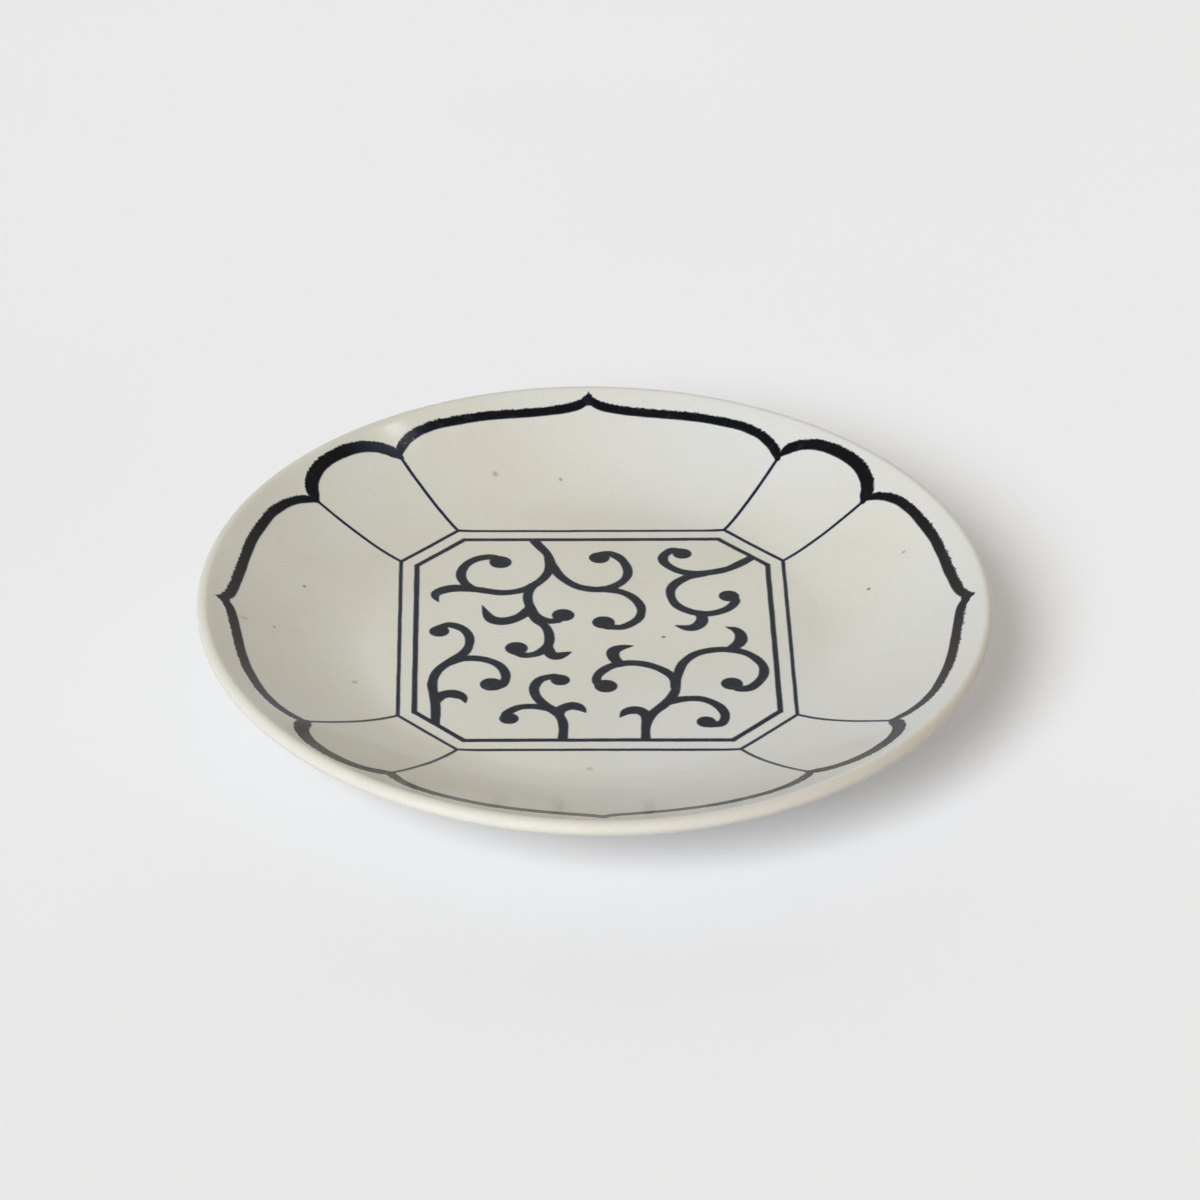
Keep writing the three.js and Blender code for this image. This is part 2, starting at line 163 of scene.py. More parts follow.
class Graph:
    """The node tree of one material or world, with Python expressions for its maths."""

    def __init__(self, tree: bpy.types.NodeTree) -> None:
        """Empties the tree and keeps it."""
        self.tree = tree
        tree.nodes.clear()

    def node(self, kind: str, settings: dict, inputs: dict, output: int | str = 0) -> "Value | None":
        """Adds a node.

        Args:
            kind: the node's type.
            settings: properties of the node, set before its sockets.
            inputs: numbers, colours or Values by socket name or index.
            output: name or index of the output that is wanted.

        Returns:
            The output as a Value, or nothing from a node that ends the tree.
        """
        made = self.tree.nodes.new(kind)
        for name, setting in settings.items():
            setattr(made, name, setting)
        for key, given in inputs.items():
            if isinstance(given, Value):
                self.tree.links.new(given.socket, made.inputs[key])
            else:
                made.inputs[key].default_value = given
        return Value(self, made.outputs[output]) if made.outputs else None

    def math(self, operation: str, *values: "Value | float") -> Value:
        """Adds a Math node for an operation on one or two values."""
        return self.node("ShaderNodeMath", {"operation": operation}, dict(enumerate(values)))

    def vector(self, operation: str, first: Value, second: Sequence[float], output: str) -> Value:
        """Adds a Vector Math node for a vector and a constant one, and gives one of its outputs."""
        return self.node("ShaderNodeVectorMath", {"operation": operation}, {0: first, 1: second}, output)

    def place(self, output: str = "Object") -> Value:
        """Gives the place of the shaded point in the part's frame, or another kind of coordinate."""
        return self.node("ShaderNodeTexCoord", {}, {}, output)

    def plan(self, place: Value) -> Value:
        """Gives a place dropped straight down to the ground."""
        return self.vector("MULTIPLY", place, (1, 1, 0), "Vector")

    def axis(self, place: Value, name: str) -> Value:
        """Gives one of X, Y and Z of a place."""
        return self.node("ShaderNodeSeparateXYZ", {}, {0: place}, name)

    def attribute(self, name: str) -> Value:
        """Gives a number that the mesh holds at each point."""
        return self.node("ShaderNodeAttribute", {"attribute_name": name}, {}, "Fac")

    def clouds(self, place: Value, cloud: Cloud) -> Value:
        """Gives soft noise from 0 to 1.

        Args:
            place: the point to look at.
            cloud: cells in a metre, number of finer layers and their weight.

        Returns:
            The noise.
        """
        scale, detail, roughness = cloud
        inputs = {"Vector": place, "Scale": scale, "Detail": detail, "Roughness": roughness}
        return self.node("ShaderNodeTexNoise", {}, inputs, "Fac")

    def step(self, value: Value, low: float, high: float) -> Value:
        """Gives 0 where the value is under low and 1 over high, with a smooth rise between."""
        inputs = {"Value": value, "From Min": low, "From Max": high}
        return self.node("ShaderNodeMapRange", {"interpolation_type": "SMOOTHSTEP"}, inputs)

    def blend(self, share: Value | float, first: Value | Colour, second: Value | Colour) -> Value:
        """Mixes two colours by a share."""
        inputs = {0: share, 6: first, 7: second}
        return self.node("ShaderNodeMix", {"data_type": "RGBA"}, inputs, 2)

    def mixed(self, share: Value, first: Value, second: Value) -> Value:
        """Mixes two shaders by a share."""
        return self.node("ShaderNodeMixShader", {}, {0: share, 1: first, 2: second})

    def seen(self) -> Value:
        """Gives 1 where the camera looks, straight, in a mirror or through glass, and 0 for other light.

        Returns:
            The share.
        """
        kinds = ("Is Camera Ray", "Is Glossy Ray", "Is Transmission Ray")
        camera, glossy, through = (self.node("ShaderNodeLightPath", {}, {}, kind) for kind in kinds)
        return self.math("MINIMUM", camera + glossy + through, 1.0)

    def bump(self, height: Value, distance: float, strength: float) -> Value:
        """Turns a height from 0 to 1 into a normal, for a relief of that distance."""
        inputs = {"Height": height, "Distance": distance, "Strength": strength}
        return self.node("ShaderNodeBump", {}, inputs)

    def surface(self, inputs: dict) -> None:
        """Ends a material's tree with a Principled surface."""
        shader = self.node("ShaderNodeBsdfPrincipled", {}, inputs)
        self.node("ShaderNodeOutputMaterial", {}, {"Surface": shader})


def new_material(name: str) -> tuple[bpy.types.Material, Graph]:
    """Makes an empty material.

    Args:
        name: its name.

    Returns:
        The material and its graph.
    """
    material = bpy.data.materials.new(name)
    material.use_nodes = True
    return material, Graph(material.node_tree)


@dataclass(frozen=True)
class Speck:
    """A round mark at a plan place, in millimetres, with how strongly it shows: a glaze speck, and in the
    ink a painted glint.
    """

    x: float
    y: float
    radius: float
    depth: float

    FADE: ClassVar[Band] = (0.35, 1.5)
    EDGE_CLOUD: ClassVar[Cloud] = (1500, 1, 0.5)
    EDGE_WAVER: ClassVar[float] = 0.25 * MM

    def mark(self, graph: Graph, flat: Value, waver: Value) -> Value:
        """Share of the speck at a plan place.

        Args:
            graph: where its nodes go.
            flat: the plan place, in metres.
            waver: unevenness of the speck's edge.

        Returns:
            The share.
        """
        distance = graph.vector("DISTANCE", flat, (self.x * MM, self.y * MM, 0), "Value")
        near, far = self.FADE
        edge = graph.step(distance + waver, near * self.radius * MM, far * self.radius * MM)
        return (1 - edge) * self.depth


def speckled(graph: Graph, specks: Sequence[Speck]) -> Value:
    """Gives the share of the strongest of some specks.

    Args:
        graph: where the nodes go.
        specks: at least one.

    Returns:
        The share.
    """
    place = graph.place()
    flat = graph.plan(place)
    waver = graph.clouds(place, Speck.EDGE_CLOUD) * Speck.EDGE_WAVER
    whole = specks[0].mark(graph, flat, waver)
    for speck in specks[1:]:
        whole = graph.math("MAXIMUM", whole, speck.mark(graph, flat, waver))
    return whole


@dataclass(frozen=True)
class GlazeFinish:
    """A clear glossy glaze over a warm grey-white body, with faint clouds and specks.

    It runs thin past the lip's radius, where painted shade also browns the lip towards the front right.
    """

    lip_radius: float
    pale: Colour = (0.640, 0.626, 0.572, 1)
    warm: Colour = (0.605, 0.585, 0.520, 1)
    cool: Colour = (0.630, 0.631, 0.628, 1)
    grain: Colour = (0.480, 0.460, 0.400, 1)
    # Lip colour: thin glaze all round, and painted shade towards the front right.
    lip: Colour = (0.560, 0.480, 0.375, 1)
    speck: Colour = (0.070, 0.055, 0.040, 1)
    cool_share: float = 0.85
    cool_spread: float = 360 * MM
    grain_share: float = 0.20
    lip_share: float = 0.08
    # Painted shade: the next four numbers brown the lip towards the front right, which faces away from the
    # key light.
    lip_shade_share: float = 0.5
    lip_shade_way: tuple[float, float, float] = (0.75, -0.66, 0)
    lip_shade_from: float = 42 * MM
    lip_shade_to: float = 76 * MM
    roughness: float = 0.09
    roughness_spread: float = 0.05
    ior: float = 1.5
    gloss: float = 0.5
    peel: float = 0.03 * MM
    peel_strength: float = 0.35
    specks: tuple[Speck, ...] = (
        Speck(-55.3, 12.7, 0.45, 0.9),
        Speck(-60.5, -3.4, 0.4, 0.75),
        Speck(-66.1, -3.9, 0.7, 0.3),
        Speck(-18.7, 53.0, 0.7, 0.4),
        Speck(-5.8, 52.7, 0.5, 0.55),
        Speck(13.0, -0.1, 0.5, 0.95),
        Speck(52.7, 12.7, 0.5, 0.8),
        Speck(59.8, 20.2, 0.45, 0.55),
        Speck(62.0, -39.6, 0.25, 0.8),
        Speck(-1.8, -43.0, 0.7, 0.35),
        Speck(-45.2, -15.7, 0.7, 0.4),
        Speck(-54.2, 46.9, 0.35, 0.45),
    )

    WARM_CLOUD: ClassVar[Cloud] = (22, 3, 0.55)
    WARM_BAND: ClassVar[Band] = (0.38, 0.66)
    COOL_CLOUD: ClassVar[Cloud] = (13, 2, 0.5)
    COOL_BAND: ClassVar[Band] = (0.47, 0.72)
    GRAIN_CLOUD: ClassVar[Cloud] = (1700, 3, 0.65)
    GRAIN_BAND: ClassVar[Band] = (0.42, 0.72)
    LIP_CLOUD: ClassVar[Cloud] = (160, 3, 0.6)
    LIP_WANDER: ClassVar[float] = 0.4 * MM
    LIP_BAND: ClassVar[Band] = (-0.2 * MM, 0.8 * MM)
    HAZE_CLOUD: ClassVar[Cloud] = (60, 3, 0.6)
    PEEL_CLOUD: ClassVar[Cloud] = (260, 2, 0.5)
    FINE_PEEL_CLOUD: ClassVar[Cloud] = (900, 1, 0.5)
    FINE_PEEL_SHARE: ClassVar[float] = 0.5

    def colour(self, graph: Graph) -> Value:
        """Colour of the glazed clay, with painted shade on the lip towards the front right.

        Args:
            graph: where its nodes go.

        Returns:
            The colour.
        """
        place = graph.place()
        clouds = graph.clouds(place, self.WARM_CLOUD)
        fine = graph.clouds(place, self.GRAIN_CLOUD)
        tint = graph.blend(graph.step(clouds, *self.WARM_BAND), self.pale, self.warm)
        # Besides its clouds, the glaze turns cooler towards +X, the right side.
        cool = graph.clouds(place, self.COOL_CLOUD) + graph.axis(place, "X") / self.cool_spread
        tint = graph.blend(graph.step(cool, *self.COOL_BAND) * self.cool_share, tint, self.cool)
        tint = graph.blend(graph.step(fine, *self.GRAIN_BAND) * self.grain_share, tint, self.grain)
        flat = graph.plan(place)
        reach = graph.vector("LENGTH", flat, (0, 0, 0), "Value")
        reach = reach + graph.clouds(place, self.LIP_CLOUD) * self.LIP_WANDER
        thin = graph.step(reach, *(self.lip_radius + edge for edge in self.LIP_BAND))
        # Painted shade on the lip, browner towards the front right; the small all-round share is the thin
        # glaze.
        along = graph.vector("DOT_PRODUCT", flat, self.lip_shade_way, "Value")
        brown_tone = graph.step(along, self.lip_shade_from, self.lip_shade_to)
        tint = graph.blend(thin * (self.lip_share + self.lip_shade_share * brown_tone), tint, self.lip)
        return graph.blend(speckled(graph, self.specks), tint, self.speck)

    def surface(self, graph: Graph, colour: Value, gloss: float) -> None:
        """Lays the gloss of the glaze over a colour and ends the graph.

        Args:
            graph: the material's graph.
            colour: what lies under the glaze.
            gloss: how strongly the glaze reflects.
        """
        place = graph.place()
        haze = graph.clouds(place, self.HAZE_CLOUD)
        fine = graph.clouds(place, self.FINE_PEEL_CLOUD)
        peel = graph.clouds(place, self.PEEL_CLOUD) + self.FINE_PEEL_SHARE * fine
        inputs = {
            "Base Color": colour,
            "Roughness": self.roughness + haze * self.roughness_spread,
            "IOR": self.ior,
            "Specular IOR Level": gloss,
            "Normal": graph.bump(peel, self.peel, self.peel_strength),
        }
        graph.surface(inputs)

    def material(self) -> bpy.types.Material:
        """Makes the material of a glazed surface with no paint.

        Returns:
            The material.
        """
        made, graph = new_material("clear_glaze")
        self.surface(graph, self.colour(graph), self.gloss)
        return made


@dataclass(frozen=True)
class InkFinish:
    """Brushed pigment under the glaze, dark in the middle and blue where it thins at its edges."""

    name: str
    core: Colour
    thin: Colour
    glaze: GlazeFinish
    gloss: float = 0.25
    bleed: float = 0.13
    body_from: float = 0.2
    body_to: float = 2.3
    fray: float = 0.10
    streak_share: float = 0.3
    ragged: float = 0.0
    # Painted glints: dots where the ink is left out, standing for the lamp's glints on the rough ink.
    painted_glints: tuple[Speck, ...] = ()

    FRAY_CLOUD: ClassVar[Cloud] = (1800, 2, 0.6)
    STREAK_CLOUD: ClassVar[Cloud] = (420, 3, 0.6)
    STREAK_BAND: ClassVar[Band] = (0.55, 0.8)
    TEETH_CLOUD: ClassVar[Cloud] = (1500, 2, 0.7)
    OUTER_BAND: ClassVar[Band] = (0.2, 0.8)

    def material(self) -> bpy.types.Material:
        """Makes the material, which reads the numbers that brushwork holds.

        Returns:
            The material.
        """
        made, graph = new_material(self.name)
        place = graph.place()
        edge = graph.attribute("edge_mm")
        load = graph.attribute("load")
        outer = graph.attribute("outer")
        grain = graph.clouds(place, self.FRAY_CLOUD)
        streaks = graph.clouds(place, self.STREAK_CLOUD)
        teeth = graph.clouds(place, self.TEETH_CLOUD) - 0.5
        depth = edge + (grain - 0.5) * self.fray
        depth = depth + self.ragged * teeth * graph.step(outer, *self.OUTER_BAND)
        cover = graph.step(depth, -self.bleed, self.bleed)
        body = graph.step(depth, self.body_from * self.bleed, self.body_to * self.bleed) * load
        body = body * (1 - self.streak_share * graph.step(streaks, *self.STREAK_BAND))
        # Painted glints: the ink is left out in small dots.
        if self.painted_glints:
            cover = cover * (1 - speckled(graph, self.painted_glints))
        ink = graph.blend(body, self.thin, self.core)
        colour = graph.blend(cover, self.glaze.colour(graph), ink)
        self.glaze.surface(graph, colour, self.gloss)
        return made


@dataclass(frozen=True)
class ClayFinish:
    """Bare fired clay on the standing edge, under the glaze that stops short of it."""

    glaze: GlazeFinish
    clay: Colour = (0.47, 0.39, 0.30, 1)
    brown_tone: Colour = (0.36, 0.24, 0.15, 1)
    glaze_stop: float = 1.1 * MM
    glaze_fade: float = 0.25 * MM
    toast_width: float = 0.7 * MM
    toast_share: float = 0.7
    wander: float = 0.5 * MM
    grit_share: float = 0.45
    grit_height: float = 0.12 * MM
    grit_strength: float = 0.5
    bare_roughness: float = 0.8
    glazed_roughness: float = 0.17

    EDGE_CLOUD: ClassVar[Cloud] = (120, 3, 0.6)
    GRIT_CLOUD: ClassVar[Cloud] = (2600, 3, 0.7)
    GRIT_BAND: ClassVar[Band] = (0.58, 0.75)
    GLAZED_GRIT: ClassVar[float] = 0.1

    def material(self) -> bpy.types.Material:
        """Makes the material, bare near the ground and glazed above.

        Returns:
            The material.
        """
        made, graph = new_material("foot_clay")
        place = graph.place()
        height = graph.axis(place, "Z")
        line = height + (graph.clouds(place, self.EDGE_CLOUD) - 0.5) * (2 * self.wander)
        glazed = graph.step(line, self.glaze_stop, self.glaze_stop + self.glaze_fade)
        toast = graph.step(line, self.glaze_stop - self.toast_width, self.glaze_stop)
        grit = graph.clouds(place, self.GRIT_CLOUD)
        bare = graph.blend(toast * self.toast_share, self.clay, self.brown_tone)
        bare = graph.blend(graph.step(grit, *self.GRIT_BAND) * self.grit_share, bare, self.brown_tone)
        colour = graph.blend(glazed, bare, self.glaze.colour(graph))
        relief = grit * (1 - (1 - self.GLAZED_GRIT) * glazed)
        inputs = {
            "Base Color": colour,
            "Roughness": self.bare_roughness - (self.bare_roughness - self.glazed_roughness) * glazed,
            "IOR": self.glaze.ior,
            "Normal": graph.bump(relief, self.grit_height, self.grit_strength),
        }
        graph.surface(inputs)
        return made


@dataclass(frozen=True)
class FloorFinish:
    """A plain pale sheet that also shines a little by itself to the camera."""

    colour: Colour = (0.838, 0.838, 0.870, 1)
    shade: Colour = (0.824, 0.822, 0.850, 1)
    shine: Colour = (0.975, 0.972, 0.985, 1)
    shine_share: float = 0.20
    roughness: float = 0.9
    gloss: float = 0.1

    MOTTLE_CLOUD: ClassVar[Cloud] = (4, 2, 0.5)
    MOTTLE_BAND: ClassVar[Band] = (0.4, 0.65)

    def material(self) -> bpy.types.Material:
        """Makes the material.

        Returns:
            The material.
        """
        made, graph = new_material("pale_sheet")
        mottle = graph.step(graph.clouds(graph.place(), self.MOTTLE_CLOUD), *self.MOTTLE_BAND)
        inputs = {
            "Base Color": graph.blend(mottle, self.colour, self.shade),
            "Roughness": self.roughness,
            "Specular IOR Level": self.gloss,
        }
        sheet = graph.node("ShaderNodeBsdfPrincipled", {}, inputs)
        shine = graph.node("ShaderNodeEmission", {}, {"Color": self.shine})
        whole = graph.mixed(graph.seen() * self.shine_share, sheet, shine)
        graph.node("ShaderNodeOutputMaterial", {}, {"Surface": whole})
        return made


@dataclass(frozen=True)
class DishForm:
    """The dish's section: a level well, a wall that curves up from it and a round lip."""

    radius: float
    lip_top: float
    base: float
    well_radius: float = 43.1 * MM
    well_depth: float = 10.9 * MM
    slope: float = math.radians(26.3)
    lip_thickness: float = 2.8 * MM
    crest_drop: float = 0.28 * MM
    foot_root: float = 46.7 * MM
    back_rise: float = 0.38 * MM
    front_drop: float = 0.15 * MM
    rim_sway: float = 0.22 * MM
    swell: float = 0.10 * MM
    swell_cells: float = 26.0

    WAVES: ClassVar[tuple[tuple[float, float, float], ...]] = ((0.6, 2, 0.7), (0.4, 3, 2.1))

    @property
    def floor(self) -> float:
        """Height of the well's floor."""
        return self.lip_top - self.well_depth

    @property
    def lip_centre(self) -> Vector:
        """Centre of the lip's round, as radius and height."""
        half = self.lip_thickness / 2
        return Vector((self.radius - half, self.lip_top - self.crest_drop - half))

    def lip_point(self, angle: float) -> Vector:
        """Point of the lip's round by the direction of its outward normal."""
        return self.lip_centre + Vector((math.cos(angle), math.sin(angle))) * (self.lip_thickness / 2)

    def wall(self, radius: float, height: float, lip: Vector) -> tuple[Vector, Vector, Vector]:
        """Control points of a wall that leaves a level face and arrives at the lip with the wall's slope.

        Args:
            radius: where the wall starts.
            height: of the level face.
            lip: where the wall ends.

        Returns:
            The three points of a quadratic curve.
        """
        bend = Vector((lip.x - (lip.y - height) / math.tan(self.slope), height))
        return Vector((radius, height)), bend, lip

    def inner_wall(self) -> tuple[Vector, Vector, Vector]:
        """Control points of the wall's upper side."""
        return self.wall(self.well_radius, self.floor, self.lip_point(math.pi / 2 + self.slope))

    def outer_wall(self) -> tuple[Vector, Vector, Vector]:
        """Control points of the wall's under side."""
        return self.wall(self.foot_root, self.base, self.lip_point(self.slope - math.pi / 2))

    def section_height(self, radius: float) -> float:
        """Height of the even face at a distance from the axis.

        Args:
            radius: the distance.

        Returns:
            The height.
        """
        start, bend, lip = self.inner_wall()
        if radius <= start.x:
            return self.floor
        if radius > lip.x:
            reach = min(radius - self.lip_centre.x, self.lip_thickness / 2)
            return self.lip_centre.y + math.sqrt((self.lip_thickness / 2) ** 2 - reach ** 2)
        a = start.x - 2 * bend.x + lip.x
        b = bend.x - start.x
        c = start.x - radius
        t = -c / (b + math.sqrt(b * b - a * c))
        return start.y + t * t * (lip.y - start.y)

    def sway(self, x: float, y: float) -> float:
        """Uneven height that throwing and firing leave, a little high at the back and low in front.

        Args:
            x: plan place.
            y: plan place.

        Returns:
            A height to add.
        """
        radius = math.hypot(x, y)
        angle = math.atan2(y, x)
        out = smoothstep(0.5 * self.well_radius, self.radius, radius)
        wave = sum(share * math.sin(count * angle + start) for share, count, start in self.WAVES)
        swell = noise.noise(Vector((x, y, 0)) * self.swell_cells)
        lean = self.back_rise if y > 0 else self.front_drop
        rim = self.rim_sway * (wave - 1) / 2 + lean * math.sin(angle)
        return out * rim + self.swell * (swell - 1) / 2

    def face(self, x: float, y: float) -> float:
        """Height of the finished face at a plan place."""
        return self.section_height(math.hypot(x, y)) + self.sway(x, y)


def deselect() -> None:
    """Leaves object mode with nothing selected."""
    if bpy.context.object and bpy.context.object.mode != "OBJECT":
        bpy.ops.object.mode_set(mode="OBJECT")
    bpy.ops.object.select_all(action="DESELECT")


def pick(piece: bpy.types.Object) -> None:
    """Selects one object alone and makes it active.

    Args:
        piece: the object.
    """
    deselect()
    piece.select_set(True)
    bpy.context.view_layer.objects.active = piece


def quadratic(points: tuple[Vector, Vector, Vector], steps: int) -> list[Vector]:
    """Walks a quadratic curve.

    Args:
        points: its two ends, with the point that bends it between them.
        steps: number of equal steps.

    Returns:
        Points of the curve, its ends included.
    """
    start, bend, end = points
    shares = [i / steps for i in range(steps + 1)]
    return [start * (1 - t) ** 2 + bend * (2 * t * (1 - t)) + end * t * t for t in shares]


def spun(name: str, profile: Sequence[Vector], steps: int) -> bpy.types.Object:
    """Draws a profile point by point and spins it about the axis.

    Args:
        name: of the new object.
        profile: points as radius and height.
        steps: number of facets in a turn.

    Returns:
        The object, closed, with its faces outwards.
    """
    deselect()
    bpy.ops.mesh.primitive_plane_add(size=MM)
    made = bpy.context.object
    made.name = name
    made.data.name = name
    bpy.ops.object.mode_set(mode="EDIT")
    bpy.ops.mesh.select_all(action="SELECT")
    bpy.ops.mesh.merge(type="CENTER")
    bpy.ops.transform.translate(value=(profile[0].x, 0, profile[0].y))
    for before, after in zip(profile, profile[1:]):
        move = after - before
        bpy.ops.mesh.extrude_vertices_move(TRANSFORM_OT_translate={"value": (move.x, 0, move.y)})
    bpy.ops.mesh.select_all(action="SELECT")
    bpy.ops.mesh.spin(steps=steps, angle=2 * math.pi, center=(0, 0, 0), axis=(0, 0, 1))
    bpy.ops.mesh.select_all(action="SELECT")
    bpy.ops.mesh.remove_doubles(threshold=WELD)
    bpy.ops.mesh.normals_make_consistent(inside=False)
    bpy.ops.object.mode_set(mode="OBJECT")
    return made


def finish_piece(piece: bpy.types.Object, slot: Slot, material: bpy.types.Material, *nodes: str) -> None:
    """Dresses a piece, hangs it on the body and lets it stand for CAD nodes.

    Args:
        piece: the finished mesh.
        slot: not used.
        material: its finish.
        nodes: the CAD nodes that it stands for.
    """
    piece.data.materials.clear()
    piece.data.materials.append(material)
    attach(piece, BODY)
    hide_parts(*nodes)
    log.info("%s: %d faces", piece.name, len(piece.data.polygons))


@dataclass
class Dish:
    """The thrown dish with its glazed face, lip and under side."""

    form: DishForm
    turn_steps: int = 360
    well_steps: int = 24
    wall_steps: int = 40
    lip_steps: int = 18

    BASE_SHARES: ClassVar[tuple[float, ...]] = (0.93, 0.85, 0.5, 0)

    def profile(self) -> list[Vector]:
        """Section from the middle of the well, over the lip, to the middle of the base.

        Returns:
            Points as radius and height.
        """
        form = self.form
        well = [Vector((form.well_radius * i / self.well_steps, form.floor)) for i in range(self.well_steps)]
        inner = quadratic(form.inner_wall(), self.wall_steps)
        sweep = [math.pi / 2 + form.slope - math.pi * i / self.lip_steps for i in range(1, self.lip_steps)]
        lip = [form.lip_point(angle) for angle in sweep]
        outer = quadratic(form.outer_wall(), self.wall_steps)[::-1]
        base = [Vector((form.foot_root * share, form.base)) for share in self.BASE_SHARES]
        return [*well, *inner, *lip, *outer, *base]

    def build(self) -> bpy.types.Object:
        """Spins the dish and gives it the unevenness of hand work.

        Returns:
            The dish.
        """
        dish = spun("dish", self.profile(), self.turn_steps)
        for vertex in dish.data.vertices:
            vertex.co.z += self.form.sway(vertex.co.x, vertex.co.y)
        pick(dish)
        bpy.ops.object.shade_smooth()
        return dish

    def dress(self, dish: bpy.types.Object, glaze: GlazeFinish) -> None:
        """Glazes the dish."""
        finish_piece(dish, Slot.GLAZE, glaze.material(), "plate_body")


@dataclass
class FootRing:
    """The ring that the plate stands on, with a bare standing edge."""

    form: DishForm
    outer: float = 42.5 * MM
    edge_width: float = 2.8 * MM
    rounding: float = 0.5 * MM
    taper: float = 0.8 * MM
    fillet: float = 1.4 * MM
    sink: float = 0.35 * MM
    crease: float = math.radians(50)
    turn_steps: int = 288
    curve_steps: int = 8

    def side(self, edge: float, lean: int) -> list[Vector]:
        """One side of the ring, from its standing edge to the base.

        Args:
            edge: radius of the side at its foot.
            lean: 1 for the outer side and -1 for the inner one.

        Returns:
            Points as radius and height.
        """
        rise = self.rounding
        base = self.form.base
        flare = edge + lean * self.taper
        root = flare + lean * self.fillet
        foot = (Vector((edge - lean * rise, 0)), Vector((edge, 0)), Vector((edge, rise)))
        crown = (Vector((flare, base - self.fillet)), Vector((flare, base)), Vector((root, base)))
        curves = [*quadratic(foot, self.curve_steps), *quadratic(crown, self.curve_steps)]
        return [*curves, Vector((root, base + self.sink))]

    def build(self) -> bpy.types.Object:
        """Spins the ring.

        Returns:
            The ring.
        """
        inner = self.outer - self.edge_width - 2 * self.rounding
        profile = [*self.side(self.outer, 1), *self.side(inner, -1)[::-1]]
        ring = spun("foot", [*profile, profile[0]], self.turn_steps)
        pick(ring)
        bpy.ops.object.shade_smooth_by_angle(angle=self.crease)
        return ring

    def dress(self, ring: bpy.types.Object, clay: ClayFinish) -> None:
        """Gives the ring its clay and glaze."""
        finish_piece(ring, Slot.BARE_CLAY, clay.material(), "foot_ring")


class BrushPath:
    """A smooth line through plan points, in millimetres, walked at an even pace."""

    STEPS_PER_SPAN = 16

    def __init__(self, points: Sequence[PlanPoint]) -> None:
        """Draws a spline through the points and measures it.

        Args:
            points: at least two.
        """
        knots = [Vector(point) for point in points]
        ends = [2 * knots[0] - knots[1], *knots, 2 * knots[-1] - knots[-2]]
        self.line: list[Vector] = [knots[0]]
        for before, start, end, after in zip(ends, ends[1:], ends[2:], ends[3:]):
            for i in range(1, self.STEPS_PER_SPAN + 1):
                self.line.append(self.spline(before, start, end, after, i / self.STEPS_PER_SPAN))
        self.reach = [0.0]
        for first, second in zip(self.line, self.line[1:]):
            self.reach.append(self.reach[-1] + (second - first).length)

    @staticmethod
    def spline(before: Vector, start: Vector, end: Vector, after: Vector, t: float) -> Vector:
        """Point of a Catmull-Rom span.

        Args:
            before: the knot before the span.
            start: of the span.
            end: of the span.
            after: the knot after the span.
            t: share of the span.

        Returns:
            The point.
        """
        slope_in = (end - before) / 2
        slope_out = (after - start) / 2
        rise = 3 * t * t - 2 * t ** 3
        bend_in = t ** 3 - 2 * t * t + t
        bend_out = t ** 3 - t * t
        return start * (1 - rise) + end * rise + slope_in * bend_in + slope_out * bend_out

    @property
    def length(self) -> float:
        """Length of the line."""
        return self.reach[-1]

    def walk(self, step: float) -> list[tuple[float, Vector, Vector]]:
        """Even steps along the line.

        Args:
            step: about how far apart they are.

        Returns:
            For each step the share of the way, the point and the direction to the left.
        """
        count = max(2, math.ceil(self.length / step))
        steps = []
        span = 0
        for i in range(count + 1):
            goal = self.length * i / count
            while span < len(self.line) - 2 and self.reach[span + 1] < goal:
                span += 1
            start, end = self.line[span], self.line[span + 1]
            share = (goal - self.reach[span]) / max(self.reach[span + 1] - self.reach[span], TINY)
            along = (end - start).normalized()
            steps.append((i / count, start.lerp(end, share), Vector((-along.y, along.x))))
        return steps


@dataclass(frozen=True)
class Stroke:
    """A brush stroke: a path in plan, its width along the way, its ink and the hand's unevenness."""

    points: Sequence[PlanPoint]
    width: Callable[[float], float]
    load: Callable[[float], float] = lambda share: 1.0
    swell: float = 0.06
    drift: float = 0.05
    seed: float = 0.0
    pace: float = 0.12

    SWELL_PACE: ClassVar[float] = 0.4
    DRIFT_PACE: ClassVar[float] = 0.2

    def dabs(self) -> np.ndarray:
        """Round dabs of ink along the stroke.

        Returns:
            Rows of x, y, radius and load.
        """
        path = BrushPath(self.points)
        rows = []
        for share, point, across in path.walk(self.pace):
            way = share * path.length
            swell = 1 + self.swell * noise.noise(Vector((way * self.SWELL_PACE, self.seed, 0.5)))
            drift = self.drift * noise.noise(Vector((way * self.DRIFT_PACE, self.seed, 7.5)))
            place = point + across * drift
            rows.append((place.x, place.y, self.width(share) / 2 * swell, self.load(share)))
        return np.array(rows)


@dataclass(frozen=True)
class Soak:
    """What plan points find of the ink: depth inside its edge, load and the way to the brush's middle."""

    depth: np.ndarray
    load: np.ndarray
    inward: np.ndarray


